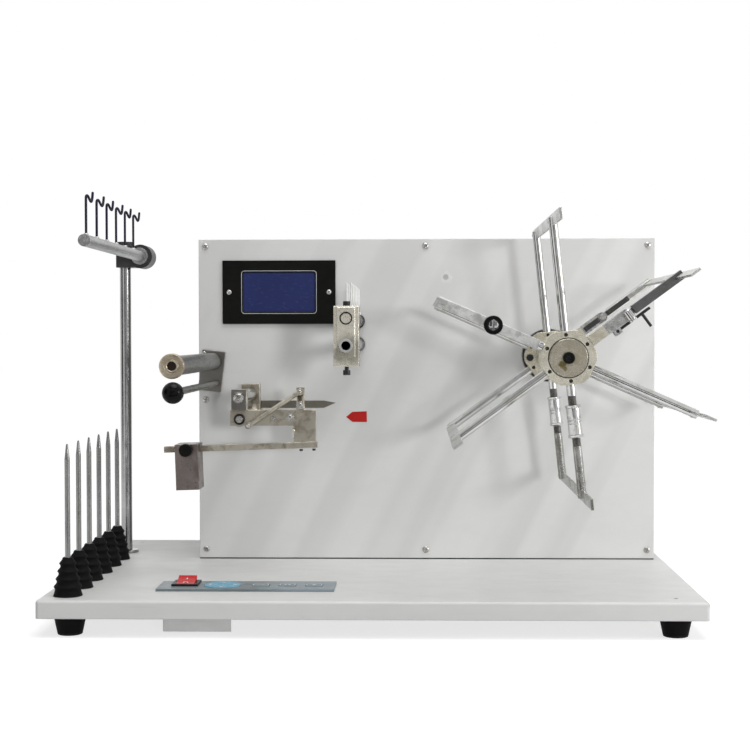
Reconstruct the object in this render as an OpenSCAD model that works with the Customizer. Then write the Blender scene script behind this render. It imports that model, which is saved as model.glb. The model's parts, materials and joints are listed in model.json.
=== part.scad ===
/* [Base tray] */
// Width of the base tray, left to right
base_w = 800; // [790:1:860]
// Depth of the base tray, front to back
base_d = 536; // [530:1:600]
// Height of the folded skirt
skirt_h = 22; // [18:1:30]
// Thickness of the folded sheet
sheet_t = 2; // [1.5:0.1:2.5]
// Outside radius of the tray's corners
tray_corner_r = 5; // [4:0.5:10]
// Reach of the lip under the skirt
tray_lip = 6; // [4:0.5:7]

/* [Feet] */
// Height of the feet below the skirt
foot_h = 23; // [18:1:35]
// Diameter of a foot at the skirt
foot_top_d = 40; // [34:1:42]
// Diameter of a foot on the bench
foot_bottom_d = 30; // [22:1:32]
// Foot centre from the tray's side edge
foot_inset_x = 36; // [34:1:40]
// Foot centre from the tray's front or back edge
foot_inset_y = 28; // [28:0.5:30]
// Thread diameter of a foot's stud
foot_stud_d = 6; // [5:0.5:7]

/* [Cabinet] */
// Panel's left edge from the tray's left edge
cab_left = 148; // [135:1:150]
// Width of the front panel
panel_w = 639; // [630:1:650]
// Height of the front panel
panel_h = 450; // [445:1:500]
// Panel face from the tray's front edge
panel_setback = 342; // [338:1:344]
// Thickness of the front panel
panel_t = 2; // [1.5:0.1:3]
// Depth of the cabinet shell
cab_d = 170; // [168:1:176]
// Width of the shell's inward flanges
flange_w = 18; // [16:1:22]
// Thread diameter of the case screws
case_screw_d = 4; // [3:0.5:4.5]
// Head diameter of the case screws
case_head_d = 9; // [7:0.5:9]
// Head height of the case screws
case_head_h = 2.6; // [2:0.1:3.5]
// Shank length of the case screws
case_screw_l = 8; // [6:0.5:10]
// Screw centres from the side and top edges
screw_inset = 9.5; // [8:0.5:11]
// Lowest screw centres from the bottom edge
screw_lift = 13.5; // [10:0.5:14]
// Length of a rear vent slot
vent_l = 60; // [40:1:80]
// Height of a rear vent slot
vent_h = 5; // [4:0.5:6]
// Spacing of the rear vent slots
vent_pitch = 12; // [10:0.5:16]

/* [Display] */
// Width of the display bezel
display_w = 159; // [150:1:165]
// Height of the display bezel
display_h = 89; // [82:1:92]
// Thickness of the display bezel
display_t = 3; // [2.5:0.1:5]
// Bezel centre from the panel's left edge
display_from_left = 113.5; // [108:0.5:116]
// Bezel centre above the tray
display_above = 376; // [370:1:380]
// Width of the window
window_w = 101; // [90:1:110]
// Height of the window
window_h = 55.5; // [48:0.5:58]
// Corner radius of the window
window_r = 3; // [1.5:0.5:5]
// Distance between the two bezel screws
display_screw_gap = 140.6; // [134:0.2:142]
// Width of the circuit board
board_w = 146; // [130:1:150]
// Height of the circuit board
board_h = 80; // [74:1:84]
// Circuit board's standoff behind the panel
board_gap = 12; // [10:0.5:16]

/* [Control strip] */
// Length of the control strip
strip_w = 220; // [216:1:240]
// Depth of the control strip
strip_d = 61; // [58:1:66]
// Thickness of the control strip
strip_t = 3; // [2.5:0.1:4]
// Strip's left end from the tray's left edge
strip_from_left = 133; // [128:1:140]
// Strip's front edge from the tray's front edge
strip_from_front = 67; // [62:1:72]
// Diameter of the arrow pad
pad_d = 46; // [40:1:48]
// Arrow pad centre from the strip's left end
pad_from_left = 79; // [77:0.5:82]
// Width of a function key
key_w = 22; // [18:0.5:26]
// Depth of a function key
key_d = 15; // [12:0.5:20]
// First function key from the strip's left end
key_from_left = 127.2; // [124:0.2:130]
// Spacing of the function keys
key_pitch = 33.3; // [31:0.1:35]
// Height of the keys above the strip
key_proud = 0.8; // [0.6:0.1:1.5]
// Travel of a key
key_travel = 0.5; // [0.3:0.1:1]

/* [Power switch] */
// Switch centre from the strip's left end
switch_from_left = 32.5; // [30:0.5:34]
// Switch centre behind the strip's middle
switch_back = 8; // [4:0.5:9]
// Width of the switch frame
switch_w = 33; // [32:0.5:36]
// Depth of the switch frame
switch_d = 36; // [35:0.5:40]
// Height of the switch frame above the strip
switch_rim = 2.5; // [2:0.1:4]
// Depth of the switch body below the tray
switch_depth = 22; // [16:0.5:26]
// Width of the rocker
rocker_w = 23; // [20:0.5:24]
// Length of the rocker
rocker_l = 28.6; // [26:0.2:29]
// Tilt of the rocker to either side
rocker_tilt = 12.5; // [8:0.5:14]
// Diameter of the rocker's pivot
rocker_pin_d = 4; // [3:0.5:5]
// Width of the wiring box under the tray
wire_box_w = 82; // [76:1:95]
// Depth of the wiring box under the tray
wire_box_d = 110; // [100:1:130]
// Wiring box from the tray's front edge
wire_box_inset = 18; // [10:0.5:30]
// Clear height under the wiring box
wire_box_lift = 5; // [3:0.5:12]
// Overhang of the wiring box's front plate at its right end
wire_box_lip = 14; // [8:0.5:18]
// Wall of the wiring box
wire_box_wall = 1.5; // [1:0.1:2.5]

/* [Mains inlet] */
// Inlet centre from the panel's left edge
inlet_from_left = 70; // [55:1:90]
// Inlet centre above the tray
inlet_above = 55; // [45:1:80]
// Width of the inlet flange
inlet_w = 50; // [46:1:54]
// Height of the inlet flange
inlet_h = 28; // [26:1:32]

/* [Creel] */
// Spindle row from the tray's left edge
creel_inset = 32; // [31:0.5:33]
// First spindle from the tray's front edge
spindle_first = 35; // [34:0.5:40]
// Spacing of the spindles
spindle_pitch = 60; // [55:1:60]
// Diameter of a spindle
spindle_d = 6.5; // [5:0.1:8]
// Diameter of a spindle inside its cone
cone_seat_d = 8; // [7:0.1:9]
// Height of a spindle's tip above the tray
spindle_h = 184.5; // [150:0.5:220]
// Length of a spindle's point
point_l = 18.5; // [10:0.5:25]
// Diameter of a spindle's blunt tip
tip_d = 2.4; // [1:0.1:4]
// Diameter of a spindle's hub inside its cone
spindle_hub_d = 14; // [12:0.5:15]
// Height of a spindle's hub inside its cone
spindle_hub_h = 16; // [12:0.5:20]
// Diameter of the welded stud in a spindle's hub
weld_stud_d = 8; // [6:0.5:9]
// Height of a rubber cone
cone_h = 47; // [40:0.5:60]
// Diameter of a cone's base
cone_base_d = 35.4; // [32:0.2:38]
// Diameter of a cone's top
cone_top_d = 12.8; // [11:0.2:16]
// Step between a cone's tiers
cone_step = 1.7; // [1:0.1:2.4]
// Diameter of the creel post
post_d = 16; // [14:0.5:18]
// Post from the last spindle
post_behind = 69.5; // [60:0.5:75]
// Height of the post above the tray
post_h = 446; // [430:1:470]
// Diameter of the post's foot flange
post_flange_d = 34; // [30:0.5:36]
// Thickness of the post's foot flange
post_flange_t = 4; // [3:0.5:6]
// Diameter of the post's threaded spigot
post_spigot_d = 10; // [8:0.5:12]
// Diameter of the hook bar
bar_d = 15; // [12:0.5:17]
// Hook bar to the right of the post
bar_side = 25; // [24:0.5:28]
// Hook bar above the tray
bar_h = 429.5; // [410:0.5:432]
// Hook bar's front end ahead of the first spindle
bar_lead = 12; // [8:0.5:20]
// Depth of the cross clamp
clamp_d = 36; // [32:0.5:44]
// Wall of the cross clamp round the bar
clamp_wall = 9.5; // [7:0.5:12]
// Drop of the clamp block below the bar's centre
clamp_drop = 15.5; // [12:0.5:20]
// Reach of the clamp block left of the post
clamp_left = 10; // [9.5:0.5:13]
// Diameter of the clamp's post sleeve
clamp_sleeve_d = 26; // [22:0.5:28]
// Rise of the post sleeve above the clamp block
clamp_sleeve_rise = 6; // [3:0.5:8]
// Diameter of the bar's shoulder
shoulder_d = 24; // [20:0.5:26]
// Thickness of the bar's shoulder
shoulder_t = 6; // [4:0.5:8]
// Wire diameter of the yarn hooks
hook_wire_d = 3.2; // [2.4:0.1:4]
// Height of the hooks' crown above the bar's centre
hook_crown = 56; // [45:0.5:60]
// Depth of the hooks' dip below the crown
hook_dip = 10; // [6:0.5:14]
// Rise of the hooks' tip above the crown
hook_rise = 3.5; // [2:0.5:12]
// Sideways reach of the hooks
hook_reach = 7; // [5:0.5:12]
// Lead of the hooks' curl along the bar
hook_lead = 8; // [5:0.5:12]

/* [Yarn tension] */
// Tension axis from the panel's left edge
tension_from_left = 20; // [18:0.5:24]
// Tension axis above the tray
tension_above = 279; // [275:0.5:284]
// Diameter of the tension rod
tension_rod_d = 24; // [18:0.5:26]
// Reach of the tension rod from the panel
tension_reach = 352; // [300:1:360]
// Diameter of the tension rod's cap
tension_cap_d = 30; // [27:0.5:34]
// Thickness of the tension rod's cap
tension_cap_t = 8; // [5:0.5:10]
// Diameter of the cap's socket
tension_socket_d = 10.6; // [8:0.2:12]
// Diameter of the lever rod
lever_rod_d = 9; // [7:0.5:10]
// Lever rod below the tension axis
lever_drop = 30.6; // [26:0.2:34]
// Lever rod to the right of the tension axis
lever_side = 4.6; // [0:0.2:6]
// Ball centre from the panel
ball_reach = 378; // [330:1:385]
// Diameter of the ball knob
ball_d = 25.5; // [20:0.5:28]
// Width of the tension plate
tension_plate_w = 32; // [28:0.5:34]
// Reach of the tension plate below its axis
tension_plate_drop = 42; // [38:0.5:44]
// Reach of the tension plate above its axis
tension_plate_rise = 15; // [14:0.5:20]
// Thickness of the tension plate
tension_plate_t = 6; // [4:0.5:8]
// Lean of the tension plate
tension_lean = 7; // [0:0.5:12]
// Diameter of the tension plate's pivot
tension_pivot_d = 16; // [12:0.5:18]
// Diameter of the pivot's collar behind the panel
pivot_collar_d = 24; // [20:0.5:28]
// Thickness of the pivot's collar behind the panel
pivot_collar_t = 4; // [3:0.5:6]

/* [Tension balance] */
// Balance pivot from the panel's left edge
balance_from_left = 76; // [74:0.5:80]
// Balance pivot above the tray
balance_above = 206; // [200:0.5:210]
// Diameter of the pivot shaft
pivot_d = 9; // [7:0.5:10]
// Diameter of the pivot shaft's flange
pivot_flange_d = 27; // [20:0.5:32]
// Thickness of the pivot shaft's flange
pivot_flange_t = 6; // [4:0.5:7]
// Lever plate's front face from the panel
balance_reach = 162; // [150:1:170]
// Diameter of the lever's pivot tube
balance_tube_d = 20; // [17:0.5:22]
// Thickness of the lever plate
lever_plate_t = 5; // [4:0.5:7]
// Height of the lever's arm
lever_arm_h = 20.5; // [20:0.5:23]
// Reach of the lever to the right of its pivot
lever_right = 100; // [95:0.5:106]
// Reach of the lever to the left of its pivot
lever_left = 12; // [11:0.5:14]
// Width of the lever's leg
lever_leg_w = 29; // [24:0.5:34]
// Diameter of the yarn roller
roller_d = 18; // [14:0.5:20]
// Roller above the pivot
roller_above = 28; // [26:0.5:32]
// Diameter of the roller's axle
roller_axle_d = 5; // [4:0.2:6]
// Width of the front roller block
front_block_w = 19.5; // [17:0.5:22]
// Depth of the front roller block
front_block_d = 20; // [17:0.5:24]
// Front roller block ahead of the lever plate
front_block_lead = 7; // [5:0.5:9]
// Height of the front roller block above the roller
front_block_rise = 11; // [8:0.5:14]
// Width of the rear roller block
rear_block_w = 25; // [22:0.5:28]
// Depth of the rear roller block
rear_block_d = 15; // [12:0.5:20]
// Rear roller block from the panel
rear_block_gap = 14; // [12:0.5:18]
// Height of the rear roller block above the roller
rear_block_rise = 14; // [11:0.5:18]
// Length of the balance beam
beam_l = 201; // [190:1:210]
// Height of the balance beam
beam_h = 8; // [6:0.5:10]
// Thickness of the balance beam
beam_t = 6; // [5:0.5:8]
// Beam below the pivot at the leg
beam_drop = 33.6; // [30:0.2:36]
// Tilt of the beam at rest
beam_tilt = 1.9; // [0:0.1:4]
// Width of the poise weight
poise_w = 30; // [24:0.5:36]
// Height of the poise weight
poise_h = 59; // [50:0.5:65]
// Depth of the poise weight
poise_d = 43; // [36:0.5:46]
// Poise from the beam's left end
poise_from_end = 17; // [14:0.5:24]
// Diameter of the poise's thumb screw
thumb_d = 17; // [12:0.5:20]
// Length of the thumb screw's knob
thumb_l = 10; // [7:0.5:14]
// Thread diameter of the thumb screw
thumb_thread_d = 5; // [4:0.5:6]
// Reach of the pointer right of the pivot
pointer_reach = 118; // [110:0.5:124]
// Height of the pointer blade
pointer_h = 10.5; // [8:0.5:13]
// Thickness of the pointer blade
pointer_t = 2; // [1.5:0.1:3]
// Pointer above the pivot
pointer_above = 13; // [11:0.5:16]
// Length of the pointer's tip
pointer_tip_l = 17; // [12:0.5:22]
// Diameter of the stay rod
stay_d = 6; // [3:0.5:7]
// Width of the tab that holds the stay rod
tab_w = 10.5; // [9:0.5:13]

/* [Traverse] */
// Traverse axis from the panel's left edge
traverse_from_left = 224; // [222:0.5:230]
// Traverse rod above the tray
traverse_above = 335; // [332:0.5:340]
// Traverse rod above the fixed tube
traverse_gap = 32.3; // [30:0.1:35]
// Diameter of the traverse rod
traverse_rod_d = 12.5; // [10:0.5:14]
// Outside diameter of the fixed tube
tube_d = 16.4; // [14:0.2:18]
// Bore of the fixed tube
tube_bore_d = 10.8; // [8:0.2:12]
// Reach of the end plate from the panel
traverse_reach = 350; // [320:1:355]
// Thickness of the end plate
end_plate_t = 8; // [6:0.5:10]
// Width of the end plate
end_plate_w = 21; // [20:0.5:24]
// Height of the end plate above and below the bores
end_plate_edge = 13; // [12:0.5:15]
// Depth of the end block
end_block_d = 26; // [22:0.5:30]
// Width of the end block
end_block_w = 30; // [26:0.5:32]
// Drop of the end block below the tube
end_block_drop = 24.5; // [20:0.5:28]
// Rise of the end block above the rod
end_block_rise = 14.5; // [13:0.5:16]
// Stroke of the traverse
traverse_stroke = 35; // [25:1:36]
// Spacing of the yarn forks
fork_pitch = 50; // [44:0.5:50]
// Free space between the first fork and the end block
fork_spare = 4; // [2:0.5:5]
// Height of the yarn forks' tips above the rod
fork_h = 45; // [40:0.5:50]
// Prong diameter of the yarn forks
prong_d = 3; // [2:0.5:5]
// Distance between a fork's prongs
prong_gap = 10; // [8:0.5:13]
// Turn of the forks about the vertical
fork_turn = 33; // [0:1:40]
// Width of a fork's collar on the rod
collar_w = 16; // [14:0.5:18]
// Diameter of a fork's collar on the rod
collar_d = 16.5; // [15:0.5:20]
// Smallest radius of the heart cam
cam_min_r = 25; // [22:0.5:30]
// Thickness of the heart cam
cam_t = 12; // [10:0.5:14]
// Cam's top face below the traverse rod
cam_below = 10; // [8:0.5:12]
// Diameter of the cam follower
follower_d = 8; // [6:0.5:9]
// Follower's place behind the panel sheet, at the end of its stroke
follower_back = 24; // [22:0.5:28]
// Play between the cam and its follower
follower_play = 0.9; // [0.7:0.1:1.2]

/* [Reel] */
// Perimeter of the yarn path round the reel
reel_perimeter = 1000; // [900:1:1010]
// Reel axis from the panel's right edge
hub_from_right = 157.5; // [155:0.5:175]
// Reel axis above the tray
hub_above = 288.5; // [270:0.5:300]
// Turn of the reel at rest
reel_turn = 6.2; // [0:0.1:59]
// Length of the winding bars
winding_l = 364; // [345:1:375]
// Winding bars' rear end from the panel
winding_gap = 101; // [95:1:110]
// Radial width of the winding bars
winding_w = 13; // [11:0.5:15]
// Thickness of the winding bars
winding_t = 3; // [2:0.2:4]
// Diameter of the arm rods
rod_d = 10.5; // [8:0.5:12]
// Winding edge beyond the arm rods' ends
rod_short = 3; // [2:0.5:5]
// Front arm rods' axis from the panel
front_rods = 367; // [350:1:375]
// Rear arm rods' axis from the panel
rear_rods = 129; // [122:1:135]
// Hub radius at the corners
hub_r = 33; // [32:0.5:38]
// Hub across its flats
hub_flats = 62; // [58:0.5:66]
// Thickness of the front hub
front_hub_t = 20; // [18:0.5:24]
// Thickness of the rear hub
rear_hub_t = 24; // [20:0.5:28]
// Diameter of the tube between the hubs
hub_tube_d = 36; // [30:1:40]
// Diameter of the rear hub's rim
hub_rim_d = 70; // [66:0.5:78]
// Thickness of the rear hub's rim
hub_rim_t = 5; // [3:0.5:8]
// Diameter of the reel shaft
shaft_d = 20; // [16:0.5:22]
// Arm rods' inner ends from the shaft's surface
rod_seat = 8; // [6:0.5:9]
// Diameter of the hub cap
cap_d = 44.6; // [38:0.2:46]
// Depth of the hub cap's seat
cap_seat = 4; // [3:0.5:6]
// Height of the hub cap above the hub
cap_proud = 2; // [1:0.5:4]
// Head diameter of the hub's centre screw
hub_screw_head_d = 13.5; // [11:0.5:15]
// Thread diameter of the hub's centre screw
hub_screw_d = 8; // [6:0.5:10]
// Head height of the hub's centre screw
hub_screw_head_h = 6; // [4:0.5:9]
// Diameter of the hub's set screws
set_screw_d = 4.5; // [3:0.5:5.5]
// Radius of the set screws' circle
set_screw_r = 26.7; // [25:0.1:28]
// Width of the clip arm's plate
clip_plate_w = 11.5; // [10:0.5:13]
// Thickness of the clip arm's plate
clip_plate_t = 5; // [4:0.5:6]
// Yarn clip's distance from the reel axis
clip_r = 94; // [80:1:110]
// Diameter of the yarn clip's disc
clip_d = 22; // [18:0.5:25]
// Thickness of the yarn clip's disc
clip_t = 6; // [4:0.5:8]

/* [Folding arm] */
// Knee's distance from the reel axis
knee_r = 85; // [80:0.5:90]
// Diameter of the knee pins
knee_pin_d = 5; // [4:0.5:6]
// Gap of the knee forks
fork_gap = 6; // [5:0.5:7]
// Cheek thickness of the knee forks
cheek_t = 3.5; // [2.5:0.5:5]
// Gap between the hub and the knee fork's block
root_gap = 1; // [0.5:0.1:2]
// Radius of the knee forks' round ends
knee_end_r = 6.5; // [6:0.5:7]
// Width of the folding arm's flat
fold_flat_w = 10.5; // [8:0.5:11]
// Length of the folding arm's root block
root_block_l = 22; // [18:0.5:26]
// Thickness of the release lever
release_t = 3; // [2:0.5:4]
// Width of the release lever
release_w = 8; // [6:0.5:9]
// Release lever's pivot inward of the knee
release_back = 21; // [19:0.5:23]
// Diameter of the release lever's pivot
release_pivot_d = 4; // [3:0.5:4.5]
// Release lever's far end from the reel axis
release_far = 110; // [104:1:120]
// Diameter of the release lever's handle
release_pin_d = 3.5; // [3:0.5:5]
// Length of the release lever's handle
release_pin_l = 17; // [12:0.5:22]

/* [Adjustable arm] */
// Sleeve's inner end from the reel axis
sleeve_near = 55; // [50:0.5:58]
// Sleeve's outer end from the reel axis
sleeve_far = 93; // [88:0.5:100]
// Diameter of the sleeves
sleeve_d = 16.5; // [14:0.5:18]
// Diameter of the sleeves' end collars
sleeve_collar_d = 18.5; // [17:0.5:20]
// Width of the sleeves' end collars
sleeve_collar_w = 3.5; // [2.5:0.5:5]
// Thread held inside each end of a sleeve
sleeve_hold = 6; // [4:0.5:9]

/* [Drive] */
// Outside diameter of the bearing housing
housing_d = 52; // [46:1:56]
// Flange diameter of the bearing housing
housing_flange_d = 84; // [76:1:92]
// Thickness of the bearing housing's flange
housing_flange_t = 8; // [5:0.5:12]
// Housing's front end ahead of the panel
housing_nose = 14; // [8:1:24]
// Housing's rear end behind the panel
housing_tail = 60; // [50:1:64]
// Diameter of the reel pulley
reel_pulley_d = 100; // [90:1:110]
// Diameter of the motor pulley
motor_pulley_d = 40; // [36:1:44]
// Width of the pulleys
pulley_w = 16; // [12:1:18]
// Gap between the pulleys and their neighbours
pulley_gap = 8; // [5:0.5:10]
// Thickness of the belt
belt_t = 3; // [2:0.5:4]
// Motor shaft below the reel axis
motor_below = 178.5; // [170:0.5:185]
// Diameter of the motor
motor_d = 90; // [80:1:100]
// Length of the motor
motor_l = 66; // [56:1:68]
// Thickness of the motor's bracket
motor_plate_t = 4; // [3:0.5:5]
// Side reach of the motor's bracket
motor_plate_side = 12; // [8:0.5:16]
// Depth of the motor bracket's foot
motor_foot_d = 40; // [30:1:50]
// Diameter of the motor's shaft
motor_shaft_d = 12; // [9:0.5:14]
// Diameter of the traverse motor
cam_motor_d = 50; // [44:1:54]
// Height of the traverse motor
cam_motor_h = 50; // [40:1:60]
// Diameter of the traverse motor's shaft
cam_shaft_d = 8; // [6:0.5:10]

/* [Clearances] */
// Radial clearance of a running fit
run_fit = 0.05; // [0.02:0.01:0.09]
// Gap between faces that pass each other
free_gap = 0.3; // [0.2:0.05:0.5]
// Clearance of a screw in its hole
screw_fit = 0.1; // [0.05:0.05:0.3]

/* [Hidden] */
$fn = 64;
spindle_count = 6;
arm_step = 60;
plain_arms = [0, 2, 4];
fold_k = 1;
adjust_k = 3;
clip_k = 5;

skirt_z = foot_h;
base_z = foot_h + skirt_h;
tray_under = base_z - sheet_t;
left_x = -base_w / 2;
front_y = -base_d / 2;

panel_x0 = left_x + cab_left;
panel_x1 = panel_x0 + panel_w;
panel_z1 = base_z + panel_h;
panel_y = front_y + panel_setback;
shell_y0 = panel_y + panel_t;
shell_y1 = shell_y0 + cab_d;
cover_y1 = shell_y1 + sheet_t;
screw_xs = [panel_x0 + screw_inset, (panel_x0 + panel_x1) / 2, panel_x1 - screw_inset];
screw_zs = [base_z + screw_lift, (base_z + panel_z1) / 2, panel_z1 - screw_inset];
case_screw_places = [for (i = [0:2], j = [0:2]) if (i != 1 || j != 1) [screw_xs[i], screw_zs[j]]];
floor_screw_places = [for (x = [panel_x0 + flange_w / 2, panel_x1 - flange_w / 2],
             y = [shell_y0 + 3 * flange_w, shell_y1 - 3 * flange_w]) [x, y]];

display_x = panel_x0 + display_from_left;
display_z = base_z + display_above;
display_y = panel_y - display_t;
module_play = 2;

strip_x0 = left_x + strip_from_left;
strip_y0 = front_y + strip_from_front;
strip_mid_y = strip_y0 + strip_d / 2;
strip_top = base_z + strip_t;
key_bottom = base_z + key_travel + free_gap;
pad_x = strip_x0 + pad_from_left;
key_xs = [for (i = [0:2]) strip_x0 + key_from_left + i * key_pitch];

switch_x = strip_x0 + switch_from_left;
switch_y = strip_mid_y + switch_back;
rocker_z = strip_top + switch_rim - 1;
well_w = rocker_w + 2 * free_gap;
well_l = rocker_l + 6 * free_gap;
switch_wall = 1.3;
rocker_pin_end = well_w / 2 + switch_wall - free_gap;
switch_bottom = tray_under - switch_depth;
wire_box_x0 = switch_x - well_w / 2 - switch_wall - wire_box_wall - 2 * free_gap;
wire_box_x1 = wire_box_x0 + wire_box_w - wire_box_lip;
wire_box_y0 = front_y + wire_box_inset;

inlet_x = panel_x0 + inlet_from_left;
inlet_z = base_z + inlet_above;
inlet_body_w = 27.5;
inlet_body_h = 20;

creel_x = left_x + creel_inset;
spindle_y1 = front_y + spindle_first;
spindle_ys = [for (i = [0:spindle_count - 1]) spindle_y1 + i * spindle_pitch];
weld_stud_h = 12;
cone_tiers = 5;
post_y = spindle_ys[spindle_count - 1] + post_behind;
bar_x = creel_x + bar_side;
bar_z = base_z + bar_h;
clamp_y0 = post_y - clamp_d / 2;
clamp_y1 = post_y + clamp_d / 2;
clamp_r = bar_d / 2 + clamp_wall;
bar_y0 = spindle_y1 - bar_lead;

tension_x = panel_x0 + tension_from_left;
tension_z = base_z + tension_above;
tension_plate_y0 = panel_y - free_gap - tension_plate_t;

balance_x = panel_x0 + balance_from_left;
balance_z = base_z + balance_above;
lever_y0 = panel_y - balance_reach;
lever_y1 = lever_y0 + lever_plate_t;
roller_z = balance_z + roller_above;
front_block_y0 = lever_y0 - front_block_lead;
front_block_y1 = front_block_y0 + front_block_d;
rear_block_y1 = panel_y - rear_block_gap;
rear_block_y0 = rear_block_y1 - rear_block_d;
leg_x = balance_x + lever_right - lever_leg_w / 2;
beam_z = balance_z - beam_drop;
beam_right = lever_leg_w / 2 + 2;
beam_left = beam_right - beam_l;
poise_mid = beam_left + poise_from_end + poise_w / 2;
stay_foot = [12, -8];
stay_head = [lever_right - lever_leg_w + tab_w - 2, 36];
stay_y = lever_y0 - free_gap - stay_d / 2;
stay_eye_d = stay_d + 3;
lever_top = balance_z + lever_arm_h / 2 + 2;

traverse_x = panel_x0 + traverse_from_left;
traverse_z = base_z + traverse_above;
tube_z = traverse_z - traverse_gap;
tube_y1 = shell_y0 + 10;
traverse_y0 = panel_y - traverse_reach;
end_block_y0 = traverse_y0 + end_plate_t;
end_block_y1 = end_block_y0 + end_block_d;
fork_y1 = end_block_y1 + traverse_stroke + collar_w / 2 + fork_spare;
fork_ys = [for (i = [0:spindle_count - 1]) fork_y1 + i * fork_pitch];
follower_y = shell_y0 + follower_back + traverse_stroke;
cam_y = follower_y + follower_d / 2 + follower_play + cam_min_r;
cam_top = traverse_z - traverse_rod_d / 2 - cam_below;
cam_bottom = cam_top - cam_t;
shelf_t = 4;
cap_screw_d = 5;
cap_head_d = 8.8;
cap_head_h = 6;

hub_x = panel_x1 - hub_from_right;
hub_z = base_z + hub_above;
reel_r = reel_perimeter / 6;
winding_y1 = panel_y - winding_gap;
winding_y0 = winding_y1 - winding_l;
winding_in = reel_r - winding_w;
front_rod_y = panel_y - front_rods;
rear_rod_y = panel_y - rear_rods;
rod_ys = [front_rod_y, rear_rod_y];
rod_in = shaft_d / 2 + rod_seat;
rod_out = reel_r - rod_short;
seat_floor = 1.5;
hub_y0 = front_rod_y - max(front_hub_t / 2 + 1, rod_d / 2 + cap_seat + seat_floor);
hub_y1 = hub_y0 + front_hub_t;
rear_hub_y0 = rear_rod_y - rear_hub_t / 2;
rear_hub_y1 = rear_hub_y0 + rear_hub_t;
sleeve_r0 = sleeve_near + sleeve_hold;
sleeve_r1 = sleeve_far - sleeve_hold;
cheek_y = fork_gap / 2 + cheek_t;
root_x = hub_flats / 2 + root_gap;
release_z = -(knee_end_r + 1 + release_t / 2);
release_pivot = knee_r - release_back;
ear_t = 2.6;

pulley_y0 = panel_y + housing_tail + pulley_gap;
pulley_y1 = pulley_y0 + pulley_w;
motor_z = hub_z - motor_below;
motor_shaft_in = motor_l / 2;
motor_face_y = pulley_y1 + pulley_gap;

// Shared shapes

module box(low, high) {
  translate(low)
    cube(high - low);
}

module round_rect(w, d, r) {
  square([w - 2 * r, d], center = true);
  square([w, d - 2 * r], center = true);
  for (sx = [-1, 1], sy = [-1, 1])
    translate([sx * (w / 2 - r), sy * (d / 2 - r)])
      circle(r);
}

// Round bar along Y between two places
module y_bar(d, y0, y1) {
  translate([0, y0, 0])
    rotate([-90, 0, 0])
      cylinder(d = d, h = y1 - y0);
}

// Round bar along X between two places
module x_bar(d, x0, x1) {
  translate([x0, 0, 0])
    rotate([0, 90, 0])
      cylinder(d = d, h = x1 - x0);
}

// Round bar between two points
module strut(a, b, d) {
  v = b - a;
  l = norm(v);
  translate(a)
    rotate([0, acos(v[2] / l), atan2(v[1], v[0])])
      cylinder(d = d, h = l);
}

module at_xz(x, z) {
  translate([x, 0, z])
    children();
}

// Pan head screw whose head sits on y = 0 and whose shank runs to +Y
module pan_screw(d, head_d, head_h, shank) {
  translate([0, -head_h, 0])
    rotate([-90, 0, 0])
      cylinder(d1 = 0.75 * head_d, d2 = head_d, h = head_h);
  y_bar(d, -head_h / 2, shank);
}

// Frame of one reel arm: +X outward, +Y along the reel axis
module on_arm(k) {
  translate([hub_x, 0, hub_z])
    rotate([0, arm_step * k - 90 - reel_turn, 0])
      children();
}

// Frame of the balance beam at the middle of the lever's leg
module on_beam() {
  translate([leg_x, 0, beam_z])
    rotate([0, -beam_tilt, 0])
      children();
}

// Base, case and fixed pieces

module base_tray() color("gainsboro")
  difference() {
    union() {
      difference() {
        translate([0, 0, skirt_z])
          linear_extrude(skirt_h)
            round_rect(base_w, base_d, tray_corner_r);
        translate([0, 0, skirt_z + sheet_t])
          linear_extrude(skirt_h - 2 * sheet_t)
            round_rect(base_w - 2 * sheet_t, base_d - 2 * sheet_t, tray_corner_r - sheet_t);
        translate([0, 0, skirt_z - 1])
          linear_extrude(sheet_t + 2)
            round_rect(base_w - 2 * tray_lip, base_d - 2 * tray_lip, tray_corner_r);
      }
      for (y = spindle_ys)
        translate([creel_x, y, tray_under])
          cylinder(d = weld_stud_d, h = sheet_t + weld_stud_h);
    }
    at_feet()
      translate([0, 0, tray_under - 1])
        cylinder(d = foot_stud_d + screw_fit, h = sheet_t + 2);
    translate([creel_x, post_y, tray_under - 1])
      cylinder(d = post_spigot_d + screw_fit, h = sheet_t + 2);
    for (p = floor_screw_places)
      translate([p[0], p[1], tray_under - 1])
        cylinder(d = case_screw_d + screw_fit, h = sheet_t + 2);
    switch_opening(tray_under - 1, base_z + 1);
  }

module at_feet() {
  for (sx = [-1, 1], sy = [-1, 1])
    translate([sx * (base_w / 2 - foot_inset_x), sy * (base_d / 2 - foot_inset_y), 0])
      children();
}

module switch_opening(z0, z1) {
  w = well_w + 2 * switch_wall + 2 * free_gap;
  l = well_l + 2 * switch_wall + 2 * free_gap;
  box([switch_x - w / 2, switch_y - l / 2, z0], [switch_x + w / 2, switch_y + l / 2, z1]);
}

module rubber_feet() color("#202124")
  at_feet()
    difference() {
      union() {
        cylinder(d1 = foot_bottom_d, d2 = foot_top_d, h = foot_h);
        translate([0, 0, foot_h])
          cylinder(d = foot_top_d, h = skirt_h - sheet_t);
        cylinder(d = foot_stud_d, h = base_z - 0.2);
      }
      translate([0, 0, -1])
        cylinder(d = 2 * foot_stud_d, h = 5);
    }

module shell_windows(reach) {
  box([panel_x0 + flange_w, shell_y0 - reach, base_z + flange_w],
    [panel_x1 - flange_w, shell_y1 + reach, panel_z1 - flange_w]);
  box([panel_x0 + flange_w, shell_y0 + flange_w, base_z - reach],
    [panel_x1 - flange_w, shell_y1 - flange_w, base_z + flange_w + reach]);
}

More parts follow.
